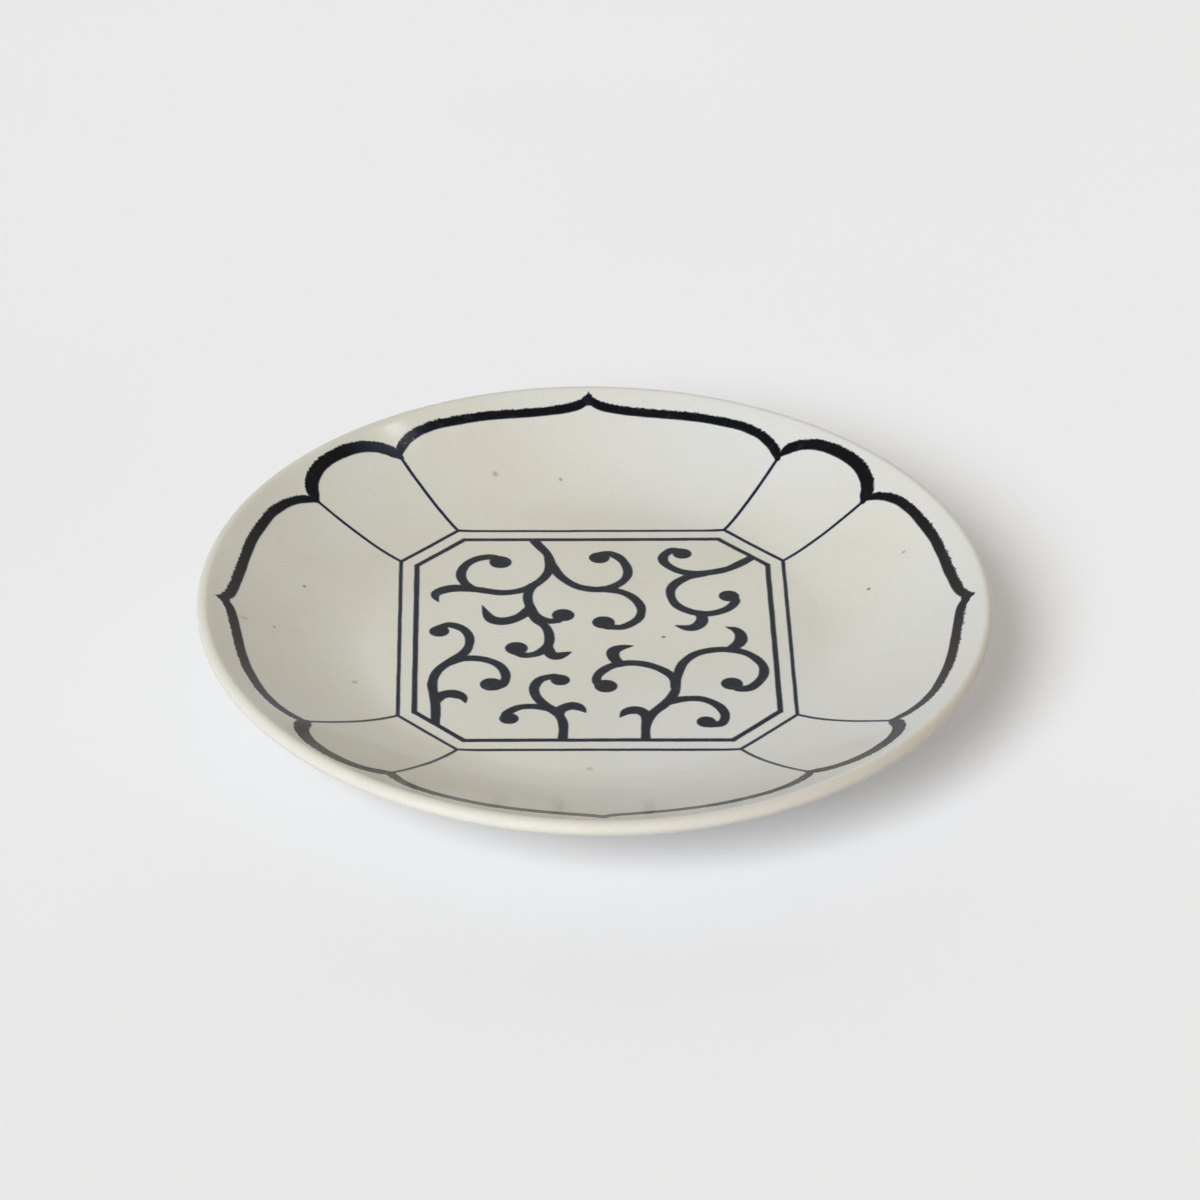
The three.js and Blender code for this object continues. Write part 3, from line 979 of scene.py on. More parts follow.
class InkField:
    """The ink of strokes that ran into one another while wet, looked up by plan place in millimetres."""

    FAR = -9.0
    REACH = 1.5
    CHUNK = 2000

    def __init__(
        self,
        strokes: Sequence[Stroke],
        web: float = 0.35,
        room: Callable[[np.ndarray], np.ndarray] | None = None,
    ) -> None:
        """Lays the dabs.

        Args:
            strokes: those of one piece.
            web: how far apart two strokes' edges still pull together.
            room: distance inside the space that the ink keeps to, if it is cut off somewhere.
        """
        self.dabs = [stroke.dabs() for stroke in strokes]
        self.web = web
        self.room = room
        every = np.vstack(self.dabs)
        self.low = (every[:, :2] - every[:, 2:3]).min(axis=0)
        self.high = (every[:, :2] + every[:, 2:3]).max(axis=0)

    def near(self, points: np.ndarray, dabs: np.ndarray) -> np.ndarray:
        """Finds the points that lie within reach of a stroke.

        Args:
            points: rows of x and y.
            dabs: of the stroke.

        Returns:
            Numbers of their rows.
        """
        reach = dabs[:, 2].max() + self.REACH
        low, high = dabs[:, :2].min(axis=0) - reach, dabs[:, :2].max(axis=0) + reach
        return np.flatnonzero(((points > low) & (points < high)).all(axis=1))

    def soak(self, points: np.ndarray) -> Soak:
        """Looks the ink up.

        Args:
            points: rows of x and y.

        Returns:
            What the points find.
        """
        depth = np.full(len(points), self.FAR)
        load = np.ones(len(points))
        inward = np.zeros((len(points), 2))
        for dabs in self.dabs:
            close = self.near(points, dabs)
            for some in np.array_split(close, len(close) // self.CHUNK + 1):
                gap = dabs[None, :, :2] - points[some][:, None, :]
                away = np.hypot(gap[..., 0], gap[..., 1])
                inside = dabs[None, :, 2] - away
                best = inside.argmax(axis=1)
                rows = np.arange(len(some))
                found, before = inside[rows, best], depth[some]
                deeper = found > before
                load[some[deeper]] = dabs[best[deeper], 3]
                heading = gap[rows, best] / np.maximum(away[rows, best], TINY)[:, None]
                inward[some[deeper]] = heading[deeper]
                pull = np.maximum(self.web - np.abs(found - before), 0)
                depth[some] = np.maximum(found, before) + pull ** 2 / (4 * self.web)
        if self.room is not None:
            depth = np.minimum(depth, self.room(points))
        return Soak(depth, load, inward)


@dataclass
class Brushwork:
    """Lays pieces of ink on the dish's face, each over those before it."""

    form: DishForm
    cell: float = 0.2
    margin: float = 0.16
    thickness: float = 0.12 * MM
    crease: float = math.radians(40)
    laid: list[InkField] = field(default_factory=list)

    def joined(self, ink: InkField, points: np.ndarray, depth: np.ndarray) -> np.ndarray:
        """Deepens a piece's ink where the ink of an earlier piece runs into it.

        Args:
            ink: the piece's own ink.
            points: plan places on the piece.
            depth: of its own ink there.

        Returns:
            The greater depth.
        """
        for other in self.laid:
            if (other.low < ink.high + 1).all() and (ink.low < other.high + 1).all():
                depth = np.maximum(depth, other.soak(points).depth)
        return depth

    def lay(self, name: str, ink: InkField, coat: Coat) -> bpy.types.Object:
        """Cuts a piece out of a fine grid along the edge of its ink and lays it on the face.

        Args:
            name: of the piece.
            ink: where its ink is.
            coat: what it is.

        Returns:
            The piece, with the numbers that its finish reads.
        """
        low, high = ink.low - 2 * self.margin, ink.high + 2 * self.margin
        across, along = (int(n) for n in np.ceil((high - low) / self.cell))
        deselect()
        bpy.ops.mesh.primitive_grid_add(x_subdivisions=across, y_subdivisions=along, size=2)
        piece = bpy.context.object
        piece.name = name
        mesh = piece.data
        mesh.name = name
        places = np.empty(3 * len(mesh.vertices), dtype=np.float32)
        mesh.vertices.foreach_get("co", places)
        places = places.reshape(-1, 3).astype(float)
        plan = low + (places[:, :2] + 1) / 2 * (high - low)
        soak = ink.soak(plan)
        inside = soak.depth > -self.margin
        corners = np.empty(4 * len(mesh.polygons), dtype=np.int32)
        mesh.polygons.foreach_get("vertices", corners)
        corners = corners.reshape(-1, 4)
        kept = np.zeros(len(plan), dtype=bool)
        kept[corners[inside[corners].any(axis=1)]] = True
        short = np.where(kept & ~inside, -self.margin - soak.depth, 0)
        plan = plan + soak.inward * short[:, None]
        depth = np.maximum(soak.depth, -self.margin)
        depth[kept] = self.joined(ink, plan[kept], depth[kept])
        spread = np.hypot(plan[:, 0], plan[:, 1])
        outer = -(soak.inward * plan).sum(axis=1) / np.maximum(spread, TINY)
        for label, numbers in (("edge_mm", depth), ("load", soak.load), ("outer", outer)):
            layer = mesh.attributes.new(label, "FLOAT", "POINT")
            layer.data.foreach_set("value", numbers.astype(np.float32))
        places[:, :2] = plan * MM
        for i in np.flatnonzero(kept):
            places[i, 2] = self.form.face(places[i, 0], places[i, 1]) + coat.value
        mesh.vertices.foreach_set("co", places.astype(np.float32).ravel())
        self.trim(mesh, ~kept)
        self.thicken(piece)
        self.laid.append(ink)
        return piece

    def trim(self, mesh: bpy.types.Mesh, unwanted: np.ndarray) -> None:
        """Deletes vertices of the active object's mesh.

        Args:
            mesh: the mesh.
            unwanted: true for each vertex that goes.
        """
        bpy.ops.object.mode_set(mode="EDIT")
        bpy.ops.mesh.select_mode(type="VERT")
        bpy.ops.mesh.select_all(action="DESELECT")
        bpy.ops.object.mode_set(mode="OBJECT")
        mesh.vertices.foreach_set("select", unwanted)
        bpy.ops.object.mode_set(mode="EDIT")
        bpy.ops.mesh.delete(type="VERT")
        bpy.ops.mesh.select_all(action="SELECT")
        bpy.ops.mesh.remove_doubles(threshold=WELD / 2)
        bpy.ops.object.mode_set(mode="OBJECT")

    def thicken(self, piece: bpy.types.Object) -> None:
        """Gives the active piece the thickness of a coat of pigment that soaks into the glaze.

        Args:
            piece: a sheet that lies on the face.
        """
        bpy.ops.object.modifier_add(type="SOLIDIFY")
        coat = piece.modifiers[-1]
        coat.thickness = self.thickness
        coat.offset = -1
        bpy.ops.object.modifier_apply(modifier=coat.name)
        bpy.ops.object.shade_smooth_by_angle(angle=self.crease)

    def paint(self, name: str, ink: InkField, coat: Coat, material: bpy.types.Material, node: str) -> None:
        """Lays a piece and dresses it.

        Args:
            name: of the piece.
            ink: where its ink is.
            coat: what it is.
            material: its finish.
            node: the CAD node that it stands for.
        """
        slot = Slot.BORDER_INK if coat in (Coat.BRACKET, Coat.LOBE) else Slot.LINE_INK
        finish_piece(self.lay(name, ink, coat), slot, material, node)


def turned(points: Sequence[PlanPoint], turn_deg: float) -> list[PlanPoint]:
    """Turns plan points clockwise about the axis, as seen from above."""
    across, up = math.sin(math.radians(turn_deg)), math.cos(math.radians(turn_deg))
    return [(x * up + y * across, y * up - x * across) for x, y in points]


def polar(angle_deg: float, reach: float) -> PlanPoint:
    """Plan point at an angle from the back, clockwise, and a distance from the axis."""
    return reach * math.sin(math.radians(angle_deg)), reach * math.cos(math.radians(angle_deg))


@dataclass(frozen=True)
class BracketHalf:
    """Half of a bracket lobe: its cusp, shoulder and waist from the axis, its width and its rise."""

    cusp: float
    shoulder: float
    waist: float
    width: float
    haste: float = 0.5
    # A load under 1 pales the ink by the cusp, as a painted highlight of the lamp's reflection.
    cusp_highlight_load: float = 1.0

    SLOW_RISE: ClassVar[tuple[PlanPoint, ...]] = (
        (35, 0), (34, 0.26), (33, 0.45), (32, 0.6), (30, 0.815), (28, 0.92), (25, 1),
    )
    FAST_RISE: ClassVar[tuple[float, ...]] = (0, 0.4, 0.59, 0.735, 0.915, 0.98, 1)
    SAG: ClassVar[tuple[PlanPoint, ...]] = ((19, 0.28), (14, 0.72), (9, 1))
    POINT: ClassVar[tuple[PlanPoint, ...]] = (
        (6, 0.044), (4, 0.105), (2.2, 0.22), (1.2, 0.355), (0.5, 0.5), (0, 0.63),
    )

    def points(self, tip: float, turn: int) -> list[PlanPoint]:
        """Path of the half from its cusp to the foot of the barb.

        Args:
            tip: distance of the lobe's tip from the axis.
            turn: -1 for the half that lies counter-clockwise of the tip, and 1 for the other.

        Returns:
            Plan points about the back.
        """
        rise = []
        for (angle, slow), fast in zip(self.SLOW_RISE, self.FAST_RISE):
            rise.append((angle, lerp(self.cusp, self.shoulder, lerp(slow, fast, self.haste))))
        sag = [(angle, lerp(self.shoulder, self.waist, share)) for angle, share in self.SAG]
        point = [(angle, lerp(self.waist, tip, share)) for angle, share in self.POINT]
        return [polar(turn * angle, reach) for angle, reach in (*rise, *sag, *point)]


@dataclass(frozen=True)
class RoundLobe:
    """A small round lobe: how far its two cusps and its crown are from the axis, and its ink."""

    first_cusp: float
    crown: float
    second_cusp: float
    lean: float
    first_width: float
    second_width: float
    # A second load under 1 pales the ink towards the second cusp, as a painted highlight of the lamp's
    # reflection.
    second_highlight_load: float = 1.0

    HALF_ANGLE: ClassVar[float] = 10.0
    RISE: ClassVar[tuple[PlanPoint, ...]] = (
        (10, 0), (9, 0.36), (8, 0.55), (7, 0.69), (5, 0.87), (3, 0.965), (1, 1),
    )

    def points(self) -> list[PlanPoint]:
        """Path of the lobe from cusp to cusp.

        Returns:
            Plan points about the back.
        """
        first = [(-angle, lerp(self.first_cusp, self.crown, share)) for angle, share in self.RISE]
        second = [(angle, lerp(self.second_cusp, self.crown, share)) for angle, share in self.RISE[::-1]]
        path = []
        for angle, reach in (*first, *second):
            lean = self.lean * (1 - (angle / self.HALF_ANGLE) ** 2)
            path.append(polar(angle + lean, reach))
        return path


BRACKETS: dict[Side, tuple[BracketHalf, BracketHalf]] = {
    # The back lobe's left half is paler by its cusp: painted highlight.
    Side.BACK: (BracketHalf(65.7, 69.45, 68.5, 2.05, 0.5, 0.85), BracketHalf(64.7, 69.1, 68.45, 2.0, 0.0)),
    Side.RIGHT: (BracketHalf(65.6, 69.2, 68.4, 2.0, 1.0), BracketHalf(65.2, 68.75, 68.25, 1.95, 0.0)),
    Side.FRONT: (BracketHalf(65.5, 68.6, 67.7, 2.15, 0.1), BracketHalf(65.5, 69.35, 68.3, 2.5, 0.7)),
    Side.LEFT: (BracketHalf(65.4, 68.6, 67.95, 2.0, 0.4), BracketHalf(65.4, 69.1, 68.2, 2.0, 0.3)),
}

ROUND_LOBES: dict[Corner, RoundLobe] = {
    Corner.BACK_RIGHT: RoundLobe(65.6, 70.75, 64.7, -1.0, 2.45, 2.65),
    Corner.FRONT_RIGHT: RoundLobe(65.0, 70.25, 64.9, -0.9, 2.5, 2.55),
    Corner.FRONT_LEFT: RoundLobe(65.5, 70.95, 64.8, -1.0, 2.9, 2.95),
    # The back-left lobe is paler towards its second cusp: painted highlight.
    Corner.BACK_LEFT: RoundLobe(65.3, 70.85, 65.1, 0.0, 2.65, 2.6, 0.7),
}


@dataclass
class Border:
    """The lobed border: pointed bracket lobes on the sides and small round lobes at the corners."""

    brushwork: Brushwork
    barb_height: float = 3.6
    back_barb_height: float = 4.1
    barb_narrowing: float = 0.8
    half_length: float = 44.0
    lobe_length: float = 28.0
    taper: float = 2.2
    end_width: float = 1.25
    barb_width: float = 2.0
    tip_width: float = 0.25
    nib_root: float = 0.8
    nib_out: float = 0.15
    nib_slant: float = 0.25
    nib_width: float = 0.9
    nib_tip: float = 0.3
    nibs: tuple[PlanPoint, ...] = (
        (-21.3, 70.1), (-13.5, 69.6), (-11.4, 69.5), (-8.3, 69.4), (4.3, 69.5), (6.8, 69.3), (11.3, 69.3),
    )

    BARB_SHARES: ClassVar[tuple[float, ...]] = (0.48, 0.72, 0.97)
    BARB_POWER: ClassVar[float] = 0.8
    NARROWING: ClassVar[Band] = (0.95, 1)
    CUSP_FADE: ClassVar[Band] = (0.05, 0.3)
    LOBE_FADE: ClassVar[Band] = (0.55, 0.85)
    SEED_PACE: ClassVar[float] = 0.37

    def swell(self, way: float, width: float) -> float:
        """Width of a stroke at a way from its cusp, in millimetres."""
        return lerp(self.end_width, width, smoothstep(0, self.taper, way))

    def half(self, half: BracketHalf, turn: int, side: Side, tip: float) -> Stroke:
        """The stroke of half a bracket lobe.

        Args:
            half: its shape.
            turn: -1 or 1, for the half on that side of the tip.
            side: of the panel.
            tip: distance of the lobe's tip from the axis.

        Returns:
            The stroke.
        """
        return Stroke(
            turned(half.points(tip, turn), side.value),
            lambda share: self.swell(share * self.half_length, half.width)
            * lerp(1, self.barb_narrowing, smoothstep(*self.NARROWING, share)),
            lambda share: lerp(half.cusp_highlight_load, 1, smoothstep(*self.CUSP_FADE, share)),
            seed=side.value * self.SEED_PACE + turn,
        )

    def bracket(self, side: Side) -> InkField:
        """Ink of one bracket lobe: two strokes that meet in a barb.

        Args:
            side: of the panel.

        Returns:
            The ink.
        """
        first, second = BRACKETS[side]
        waist = (first.waist + second.waist) / 2
        tip = waist + (self.back_barb_height if side is Side.BACK else self.barb_height)
        strokes = [self.half(first, -1, side, tip), self.half(second, 1, side, tip)]
        barb = turned([(0, lerp(waist, tip, share)) for share in self.BARB_SHARES], side.value)
        strokes.append(
            Stroke(barb, lambda share: lerp(self.barb_width, self.tip_width, share ** self.BARB_POWER))
        )
        if side is Side.RIGHT:
            for angle, reach in self.nibs:
                root = polar(angle, reach - self.nib_root)
                point = polar(angle + self.nib_slant, reach + self.nib_out)
                nib = turned([root, point], side.value)
                strokes.append(Stroke(nib, lambda share: lerp(self.nib_width, self.nib_tip, share)))
        return InkField(strokes)

    def round_lobe(self, corner: Corner) -> InkField:
        """Ink of one small round lobe, a single stroke from cusp to cusp.

        Args:
            corner: of the panel.

        Returns:
            The ink.
        """
        lobe = ROUND_LOBES[corner]
        stroke = Stroke(
            turned(lobe.points(), corner.value),
            lambda share: self.swell(
                min(share, 1 - share) * self.lobe_length, lerp(lobe.first_width, lobe.second_width, share)
            ),
            lambda share: lerp(1, lobe.second_highlight_load, smoothstep(*self.LOBE_FADE, share)),
            seed=corner.value * self.SEED_PACE,
        )
        return InkField([stroke])

    def build(self, ink: InkFinish) -> None:
        """Paints and dresses all the lobes.

        Args:
            ink: their finish.
        """
        material = ink.material()
        for side in Side:
            name = f"bracket_{side.name.lower()}"
            self.brushwork.paint(name, self.bracket(side), Coat.BRACKET, material, f"border_{name}")
        for corner in Corner:
            name = f"lobe_{corner.name.lower()}"
            self.brushwork.paint(name, self.round_lobe(corner), Coat.LOBE, material, f"border_{name}")


@dataclass
class PanelFrame:
    """The double frame, a square with cut corners, and the lines from its corners to the border's cusps."""

    brushwork: Brushwork
    half_width: float = 37.03
    corner_cut: float = 10.99
    spacing: float = 3.07
    outer_width: float = 0.82
    inner_width: float = 1.12
    line_width: float = 0.74
    cusp_reach: float = 65.3
    overlap: float = 0.3

    CUSP_ANGLES: ClassVar[tuple[float, float]] = (35, 55)
    WEB: ClassVar[float] = 0.15
    FRAME_SEED_PACE: ClassVar[float] = 3.7
    LINE_SEED_PACE: ClassVar[float] = 3.1

    def half_sizes(self, inset: float) -> tuple[float, float]:
        """Half the width and half a straight side of the frame, moved in by a distance."""
        flat = self.half_width - self.corner_cut - inset * math.tan(math.pi / 8)
        return self.half_width - inset, flat

    def corners(self, inset: float) -> list[Vector]:
        """Corners of the frame moved in by a distance, counter-clockwise.

        Args:
            inset: the distance.

        Returns:
            Plan points.
        """
        half, flat = self.half_sizes(inset)
        found = []
        for quarter in range(4):
            turn = Matrix.Rotation(quarter * math.pi / 2, 2)
            found.append(turn @ Vector((half, -flat)))
            found.append(turn @ Vector((half, flat)))
        return found

    def room(self, points: np.ndarray) -> np.ndarray:
        """How far plan points lie inside the inner line's middle, with a little overlap.

        Args:
            points: rows of x and y.

        Returns:
            The distances.
        """
        half, flat = self.half_sizes(self.spacing)
        x, y = np.abs(points[:, 0]), np.abs(points[:, 1])
        slant = (half + flat - x - y) / math.sqrt(2)
        return np.minimum(np.minimum(half - x, half - y), slant) + self.overlap

    def line(self, inset: float, width: float) -> InkField:
        """Ink of one of the frame's lines, a stroke for each of its sides.

        Args:
            inset: of the line from the outer frame.
            width: of the line.

        Returns:
            The ink.
        """
        corners = self.corners(inset)
        strokes = []
        for i, (start, end) in enumerate(zip(corners, [*corners[1:], corners[0]])):
            seed = inset + self.FRAME_SEED_PACE * i
            strokes.append(Stroke([tuple(start), tuple(end)], lambda share: width, seed=seed))
        return InkField(strokes, web=self.WEB)

    def build(self, ink: InkFinish) -> None:
        """Paints and dresses the frame and its lines.

        Args:
            ink: their finish.
        """
        material = ink.material()
        lines = ("outer", 0, self.outer_width), ("inner", self.spacing, self.inner_width)
        for name, inset, width in lines:
            line = self.line(inset, width)
            self.brushwork.paint(f"{name}_frame", line, Coat.FRAME, material, f"frame_{name}")
        _, beside_right, beside_back = self.corners(0)[:3]
        cusps = [polar(angle, self.cusp_reach) for angle in self.CUSP_ANGLES]
        ends = {"first": (beside_back, cusps[0]), "second": (beside_right, cusps[1])}
        for i, corner in enumerate(Corner):
            for order, (start, cusp) in ends.items():
                path = turned([tuple(start), cusp], i * 90)
                seed = i * self.LINE_SEED_PACE + len(order)
                spoke = InkField([Stroke(path, lambda share: self.line_width, seed=seed)])
                name = f"{corner.name.lower()}_{order}"
                self.brushwork.paint(f"spoke_{name}", spoke, Coat.SPOKE, material, f"panel_line_{name}")


@dataclass(frozen=True)
class Shoot:
    """One stroke of a vine, in hundredths of the panel: a stem, which may end in a bud, or a thorn."""

    points: tuple[PlanPoint, ...]
    bud: PlanPoint | None = None
    bud_radius: float = 2.1
    thorn: bool = False


VINES: dict[str, tuple[Shoot, ...]] = {
    "vine_back_left": (
        Shoot(((-35.5, 103), (-31, 94), (-26, 84), (-25, 74.5), (-26.5, 64.5), (-32, 55), (-41, 47.5),
               (-52.5, 45), (-65.5, 48), (-74.5, 49.5))),
        Shoot(((-68.5, 49), (-80, 49.5), (-88, 46), (-90, 41.5), (-88, 35.5)), thorn=True),
        Shoot(((-69, 49), (-74, 56.5), (-75.5, 64.5), (-73, 73), (-67, 79.5), (-59, 82), (-53.5, 80)),
              bud=(-53, 76.5)),
        Shoot(((-35, 52), (-37.5, 43.5), (-37.5, 36), (-35.5, 27), (-32, 20), (-26, 16), (-21, 16.5)),
              bud=(-18, 22)),
        Shoot(((-36.5, 29), (-42.5, 20.5), (-51.5, 16), (-59, 19), (-63.5, 32)), thorn=True),
        Shoot(((-36, 26), (-33, 17), (-28, 10), (-26, 1), (-27, -8.5), (-32.5, -16), (-40, -18), (-45, -15)),
              bud=(-44.5, -11)),
        Shoot(((-27, -9.5), (-25.5, -16.5), (-22, -19), (-14, -15)), thorn=True),
        Shoot(((-25, 78.5), (-23, 71.5), (-18.5, 61), (-10, 51.5), (1, 48), (9.5, 50), (17, 57.5),
               (19.5, 67), (16.5, 78.5), (10.5, 85), (5.5, 85)), bud=(3.5, 81), bud_radius=1.95),
        Shoot(((4.5, 48.5), (15, 45.5), (22, 39), (26, 29), (24, 18), (15.5, 10), (7, 10)), bud=(4.5, 14.5)),
    ),
    "vine_back_right": (
        Shoot(((95, 85), (84.5, 75), (74.5, 68), (61, 64.5), (49.5, 66.5), (41.5, 74), (40, 81.5),
               (44.5, 88), (49.5, 87.5)), bud=(51, 85), bud_radius=1.8),
        Shoot(((62.5, 64), (52.5, 60), (45, 52), (43, 43), (46, 32), (54, 25), (64, 23), (74, 27.5),
               (79.5, 35.5), (77.5, 40.5)), bud=(76, 41), bud_radius=1.9),
        Shoot(((59, 23.5), (60, 16.5), (57, 10.5), (52, 8.5), (44.5, 11)), thorn=True),
    ),
    "vine_left": (
        Shoot(((-89, -86.5), (-89, -70), (-90, -57), (-91, -45), (-88, -33), (-79.5, -22), (-72.5, -13.5),
               (-70.5, -1.5), (-74, 8), (-81.5, 12.5), (-87, 10)), bud=(-87.5, 6), bud_radius=1.85),
        Shoot(((-81.5, -25), (-73, -21), (-62.5, -22), (-54, -28), (-50.5, -37.5), (-52, -46), (-55.5, -49)),
              bud=(-58.5, -46.5)),
        Shoot(((-88.5, -62), (-85.5, -57), (-80, -55.5), (-74.5, -58.5), (-72.5, -64.5)), thorn=True),
    ),
    "vine_front": (
        Shoot(((-20.5, -105), (-19.5, -87.5), (-21.5, -77), (-28, -68), (-33.5, -59.5), (-35, -50),
               (-31.5, -42), (-24.5, -39), (-21, -40)), bud=(-20.5, -42.5), bud_radius=1.75),
        Shoot(((-26, -70), (-35, -68), (-43.5, -69), (-50, -74.5), (-49.5, -78)), bud=(-49, -79.5),
              bud_radius=1.75),
        Shoot(((-21.5, -75), (-20, -70.5), (-14.5, -67.5), (-10, -69.5), (-7, -74)), thorn=True),
    ),
    "vine_front_right": (
        Shoot(((25, -105), (25.5, -86.5), (29.5, -75), (37.5, -64.5), (42.5, -53.5), (42.5, -43.5),
               (38.5, -35.5), (29.5, -28.5), (18.5, -26), (8, -29), (1, -36.5), (-0.5, -43.5), (2.5, -48)),
              bud=(4.5, -48.5)),
        Shoot(((42.5, -49), (44.5, -38), (48, -26), (56.5, -16.5), (70, -13), (83, -16.5), (91.5, -27.5),
               (91.5, -39), (85, -49.5), (78, -51.5), (76, -49)), bud=(74, -46.5), bud_radius=2.0),
        Shoot(((12.5, -27), (9.5, -20.5), (9.5, -14.5), (13.5, -11), (20.5, -9)), thorn=True),
        Shoot(((74.5, -13), (80, -6), (81, 1), (78.5, 6.5), (73, 9.5)), thorn=True),
        Shoot(((38, -64), (48, -61), (57.5, -61.5), (65.5, -67.5), (69, -76), (67, -84), (61, -85.5)),
              bud=(58.5, -83), bud_radius=1.75),
        Shoot(((26, -81.5), (25.5, -76), (21.5, -72), (15.5, -73), (11.5, -78.5)), thorn=True),
    ),
}


@dataclass
class Vines:
    """The vine scrolls inside the frame."""

    brushwork: Brushwork
    panel: PanelFrame
    width: float = 1.95
    thorn_width: float = 2.6
    thorn_tip: float = 0.3
    shift: float = 0.2
    stem_swell: float = 0.12
    seed_pace: float = 2.7
    dab_length: float = 0.2

    def on_panel(self, point: PlanPoint) -> PlanPoint:
        """Plan point in millimetres from hundredths of the panel."""
        scale = (self.panel.half_width - self.panel.spacing) / 100
        return point[0] * scale + self.shift, point[1] * scale

    def thorn(self, share: float) -> float:
        """Width of a thorn, which swells and runs out to a point."""
        belly = math.sin(share * math.pi)
        return lerp(self.width if share < 0.5 else self.thorn_tip, self.thorn_width, belly)

    def vine(self, name: str, shoots: Sequence[Shoot]) -> InkField:
        """Ink of one vine, cut off along the inner frame's line.

        Args:
            name: of the vine.
            shoots: its strokes, the main stem first.

        Returns:
            The ink.
        """
        strokes = []
        for i, shoot in enumerate(shoots):
            points = [self.on_panel(point) for point in shoot.points]
            width = self.thorn if shoot.thorn else lambda share: self.width
            seed = len(name) + i * self.seed_pace
            strokes.append(Stroke(points, width, swell=self.stem_swell, seed=seed))
            if shoot.bud:
                x, y = self.on_panel(shoot.bud)
                ends = (x - self.dab_length / 2, y), (x + self.dab_length / 2, y)
                strokes.append(Stroke(ends, lambda share, size=2 * shoot.bud_radius: size, swell=0))
        return InkField(strokes, room=self.panel.room)

    def build(self, ink: InkFinish) -> None:
        """Paints and dresses every vine.

        Args:
            ink: their finish.
        """
        material = ink.material()
        for name, shoots in VINES.items():
            vine = self.vine(name, shoots)
            self.brushwork.paint(f"{name}_brushwork", vine, Coat.VINE, material, name)


@dataclass(frozen=True)
class RoomLight:
    """The room's soft, warm light: dim overhead and from the front, paler at the back, dark at the sides."""

    overhead: Colour = (0.32, 0.285, 0.225, 1)
    back: Colour = (0.77, 0.735, 0.645, 1)
    front: Colour = (0.42, 0.345, 0.23, 1)
    sides: Colour = (0, 0, 0, 1)
    horizon: Colour = (0.80, 0.80, 0.82, 1)

    AROUND: ClassVar[Band] = (0.1, 0.8)
    CEILING: ClassVar[Band] = (0.55, 0.85)
    HAZE_TOP: ClassVar[Band] = (0.14, 0.22)

    def light(self) -> None:
        """Makes the world."""
        world = bpy.data.worlds.new("soft_room")
        world.use_nodes = True
        graph = Graph(world.node_tree)
        way = graph.place("Generated")
        depth = graph.axis(way, "Y")
        overhead, back, front, sides, haze = (
            graph.node("ShaderNodeBackground", {}, {"Color": colour})
            for colour in (self.overhead, self.back, self.front, self.sides, self.horizon)
        )
        around = graph.mixed(graph.step(depth, *self.AROUND), sides, back)
        around = graph.mixed(graph.step(0 - depth, *self.AROUND), around, front)
        height = graph.axis(way, "Z")
        shown = graph.mixed(graph.step(height, *self.CEILING), around, overhead)
        shown = graph.mixed(graph.seen() * (1 - graph.step(height, *self.HAZE_TOP)), shown, haze)
        graph.node("ShaderNodeOutputWorld", {}, {"Surface": shown})
        bpy.context.scene.world = world


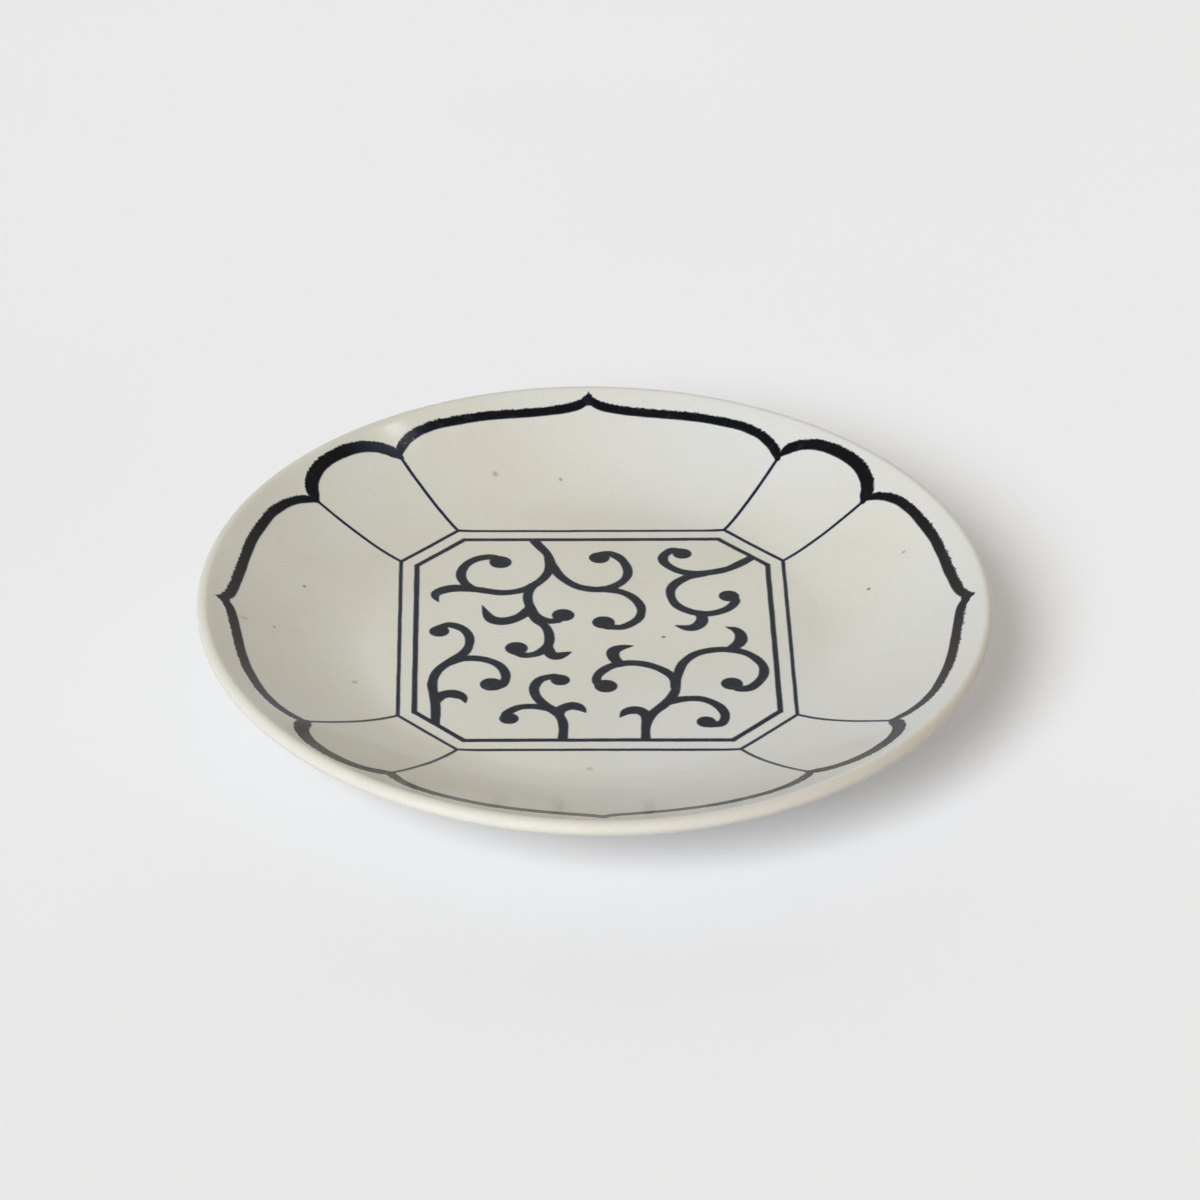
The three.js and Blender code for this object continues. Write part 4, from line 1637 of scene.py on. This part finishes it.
@dataclass(frozen=True)
class Studio:
    """Floor, soft lights and the camera at the photograph's angle."""

    focus: Vector
    floor_size: float = 8.0
    key_direction: Vector = Vector((-0.41, -0.68, 0.58))
    key_distance: float = 2.0
    key_strength: float = 3.5
    key_angle: float = math.radians(28)
    key_tint: Colour = (0.90, 0.95, 0.99, 1)
    glint_direction: Vector = Vector((0.32, 0.312, 0.893))
    glint_distance: float = 1.21
    glint_size: float = 0.042
    glint_power: float = 0.05
    camera_distance: float = 944.7 * MM
    camera_azimuth: float = math.radians(-1.54)
    camera_elevation: float = math.radians(33.9)
    camera_roll: float = math.radians(0.765)
    lens: float = 149.5
    clip_near: float = 0.05
    clip_far: float = 50.0
    aim_right: float = 0.87 * MM
    aim_up: float = 6.96 * MM

    def floor(self) -> None:
        """Lays the floor."""
        deselect()
        bpy.ops.mesh.primitive_plane_add(size=self.floor_size)
        sheet = bpy.context.object
        sheet.name = "floor_sheet"
        sheet.data.materials.append(FloorFinish().material())

    def hang(self, data: bpy.types.Light, direction: Vector, distance: float) -> None:
        """Hangs a lamp that looks at the plate. The key's sun leaves no mirror image in the glaze.

        Args:
            data: the lamp.
            direction: from the plate towards the lamp.
            distance: from the plate.
        """
        lamp = bpy.data.objects.new(data.name, data)
        bpy.context.scene.collection.objects.link(lamp)
        lamp.location = self.focus + direction.normalized() * distance
        lamp.rotation_euler = (-direction).to_track_quat("-Z", "Y").to_euler()
        lamp.visible_glossy = data.type != "SUN"

    def lamps(self) -> None:
        """Hangs a large soft key light and a small lamp that glints in the glaze."""
        key = bpy.data.lights.new("key", "SUN")
        key.energy = self.key_strength
        key.angle = self.key_angle
        key.color = self.key_tint[:3]
        self.hang(key, self.key_direction, self.key_distance)
        glint = bpy.data.lights.new("glint", "AREA")
        glint.energy = self.glint_power
        glint.size = self.glint_size
        self.hang(glint, self.glint_direction, self.glint_distance)

    def camera(self) -> None:
        """Sets the camera."""
        azimuth, elevation = self.camera_azimuth, self.camera_elevation
        level = math.cos(elevation)
        back = Vector((math.sin(azimuth) * level, -math.cos(azimuth) * level, math.sin(elevation)))
        data = bpy.data.cameras.new("camera")
        data.lens = self.lens
        data.clip_start = self.clip_near
        data.clip_end = self.clip_far
        camera = bpy.data.objects.new("camera", data)
        bpy.context.scene.collection.objects.link(camera)
        facing = (-back).to_track_quat("-Z", "Y").to_matrix()
        right, up = facing.col[0], facing.col[1]
        camera.location = self.focus + back * self.camera_distance
        aim = self.focus + right * self.aim_right + up * self.aim_up
        look = (aim - camera.location).to_track_quat("-Z", "Y").to_matrix()
        camera.rotation_euler = (look @ Matrix.Rotation(self.camera_roll, 3, "Z")).to_euler()
        bpy.context.scene.camera = camera

    def build(self) -> None:
        """Sets the stage."""
        bpy.context.scene.view_settings.view_transform = "Standard"
        self.floor()
        RoomLight().light()
        self.lamps()
        self.camera()


def main() -> None:
    """Builds the plate and its stage."""
    logging.basicConfig(level=logging.INFO, format="%(name)s: %(message)s")
    low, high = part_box("plate_body")
    form = DishForm(radius=high.x - RIM_GAP, lip_top=high.z, base=low.z)
    glaze = GlazeFinish(form.lip_centre.x)
    # Painted glints in the back bracket's ink by its left cusp.
    painted_glints = (Speck(-36.1, 59.5, 0.22, 0.9), Speck(-34.9, 58.3, 0.18, 0.8), Speck(-36.5, 57.0, 0.2, 0.9))
    border_core = (0.002, 0.002, 0.004, 1)
    border_thin = (0.040, 0.060, 0.105, 1)
    border_ink = InkFinish("border_pigment", border_core, border_thin, glaze, ragged=0.8, painted_glints=painted_glints)
    line_ink = InkFinish("line_pigment", (0.004, 0.007, 0.017, 1), (0.055, 0.078, 0.130, 1), glaze)
    studio = Studio(focus=Vector((0, 0, form.floor)))
    studio.build()
    dish = Dish(form)
    dish.dress(dish.build(), glaze)
    foot = FootRing(form)
    foot.dress(foot.build(), ClayFinish(glaze))
    brushwork = Brushwork(form)
    panel = PanelFrame(brushwork)
    Vines(brushwork, panel).build(line_ink)
    panel.build(line_ink)
    Border(brushwork).build(border_ink)


if __name__ == "__main__":
    main()
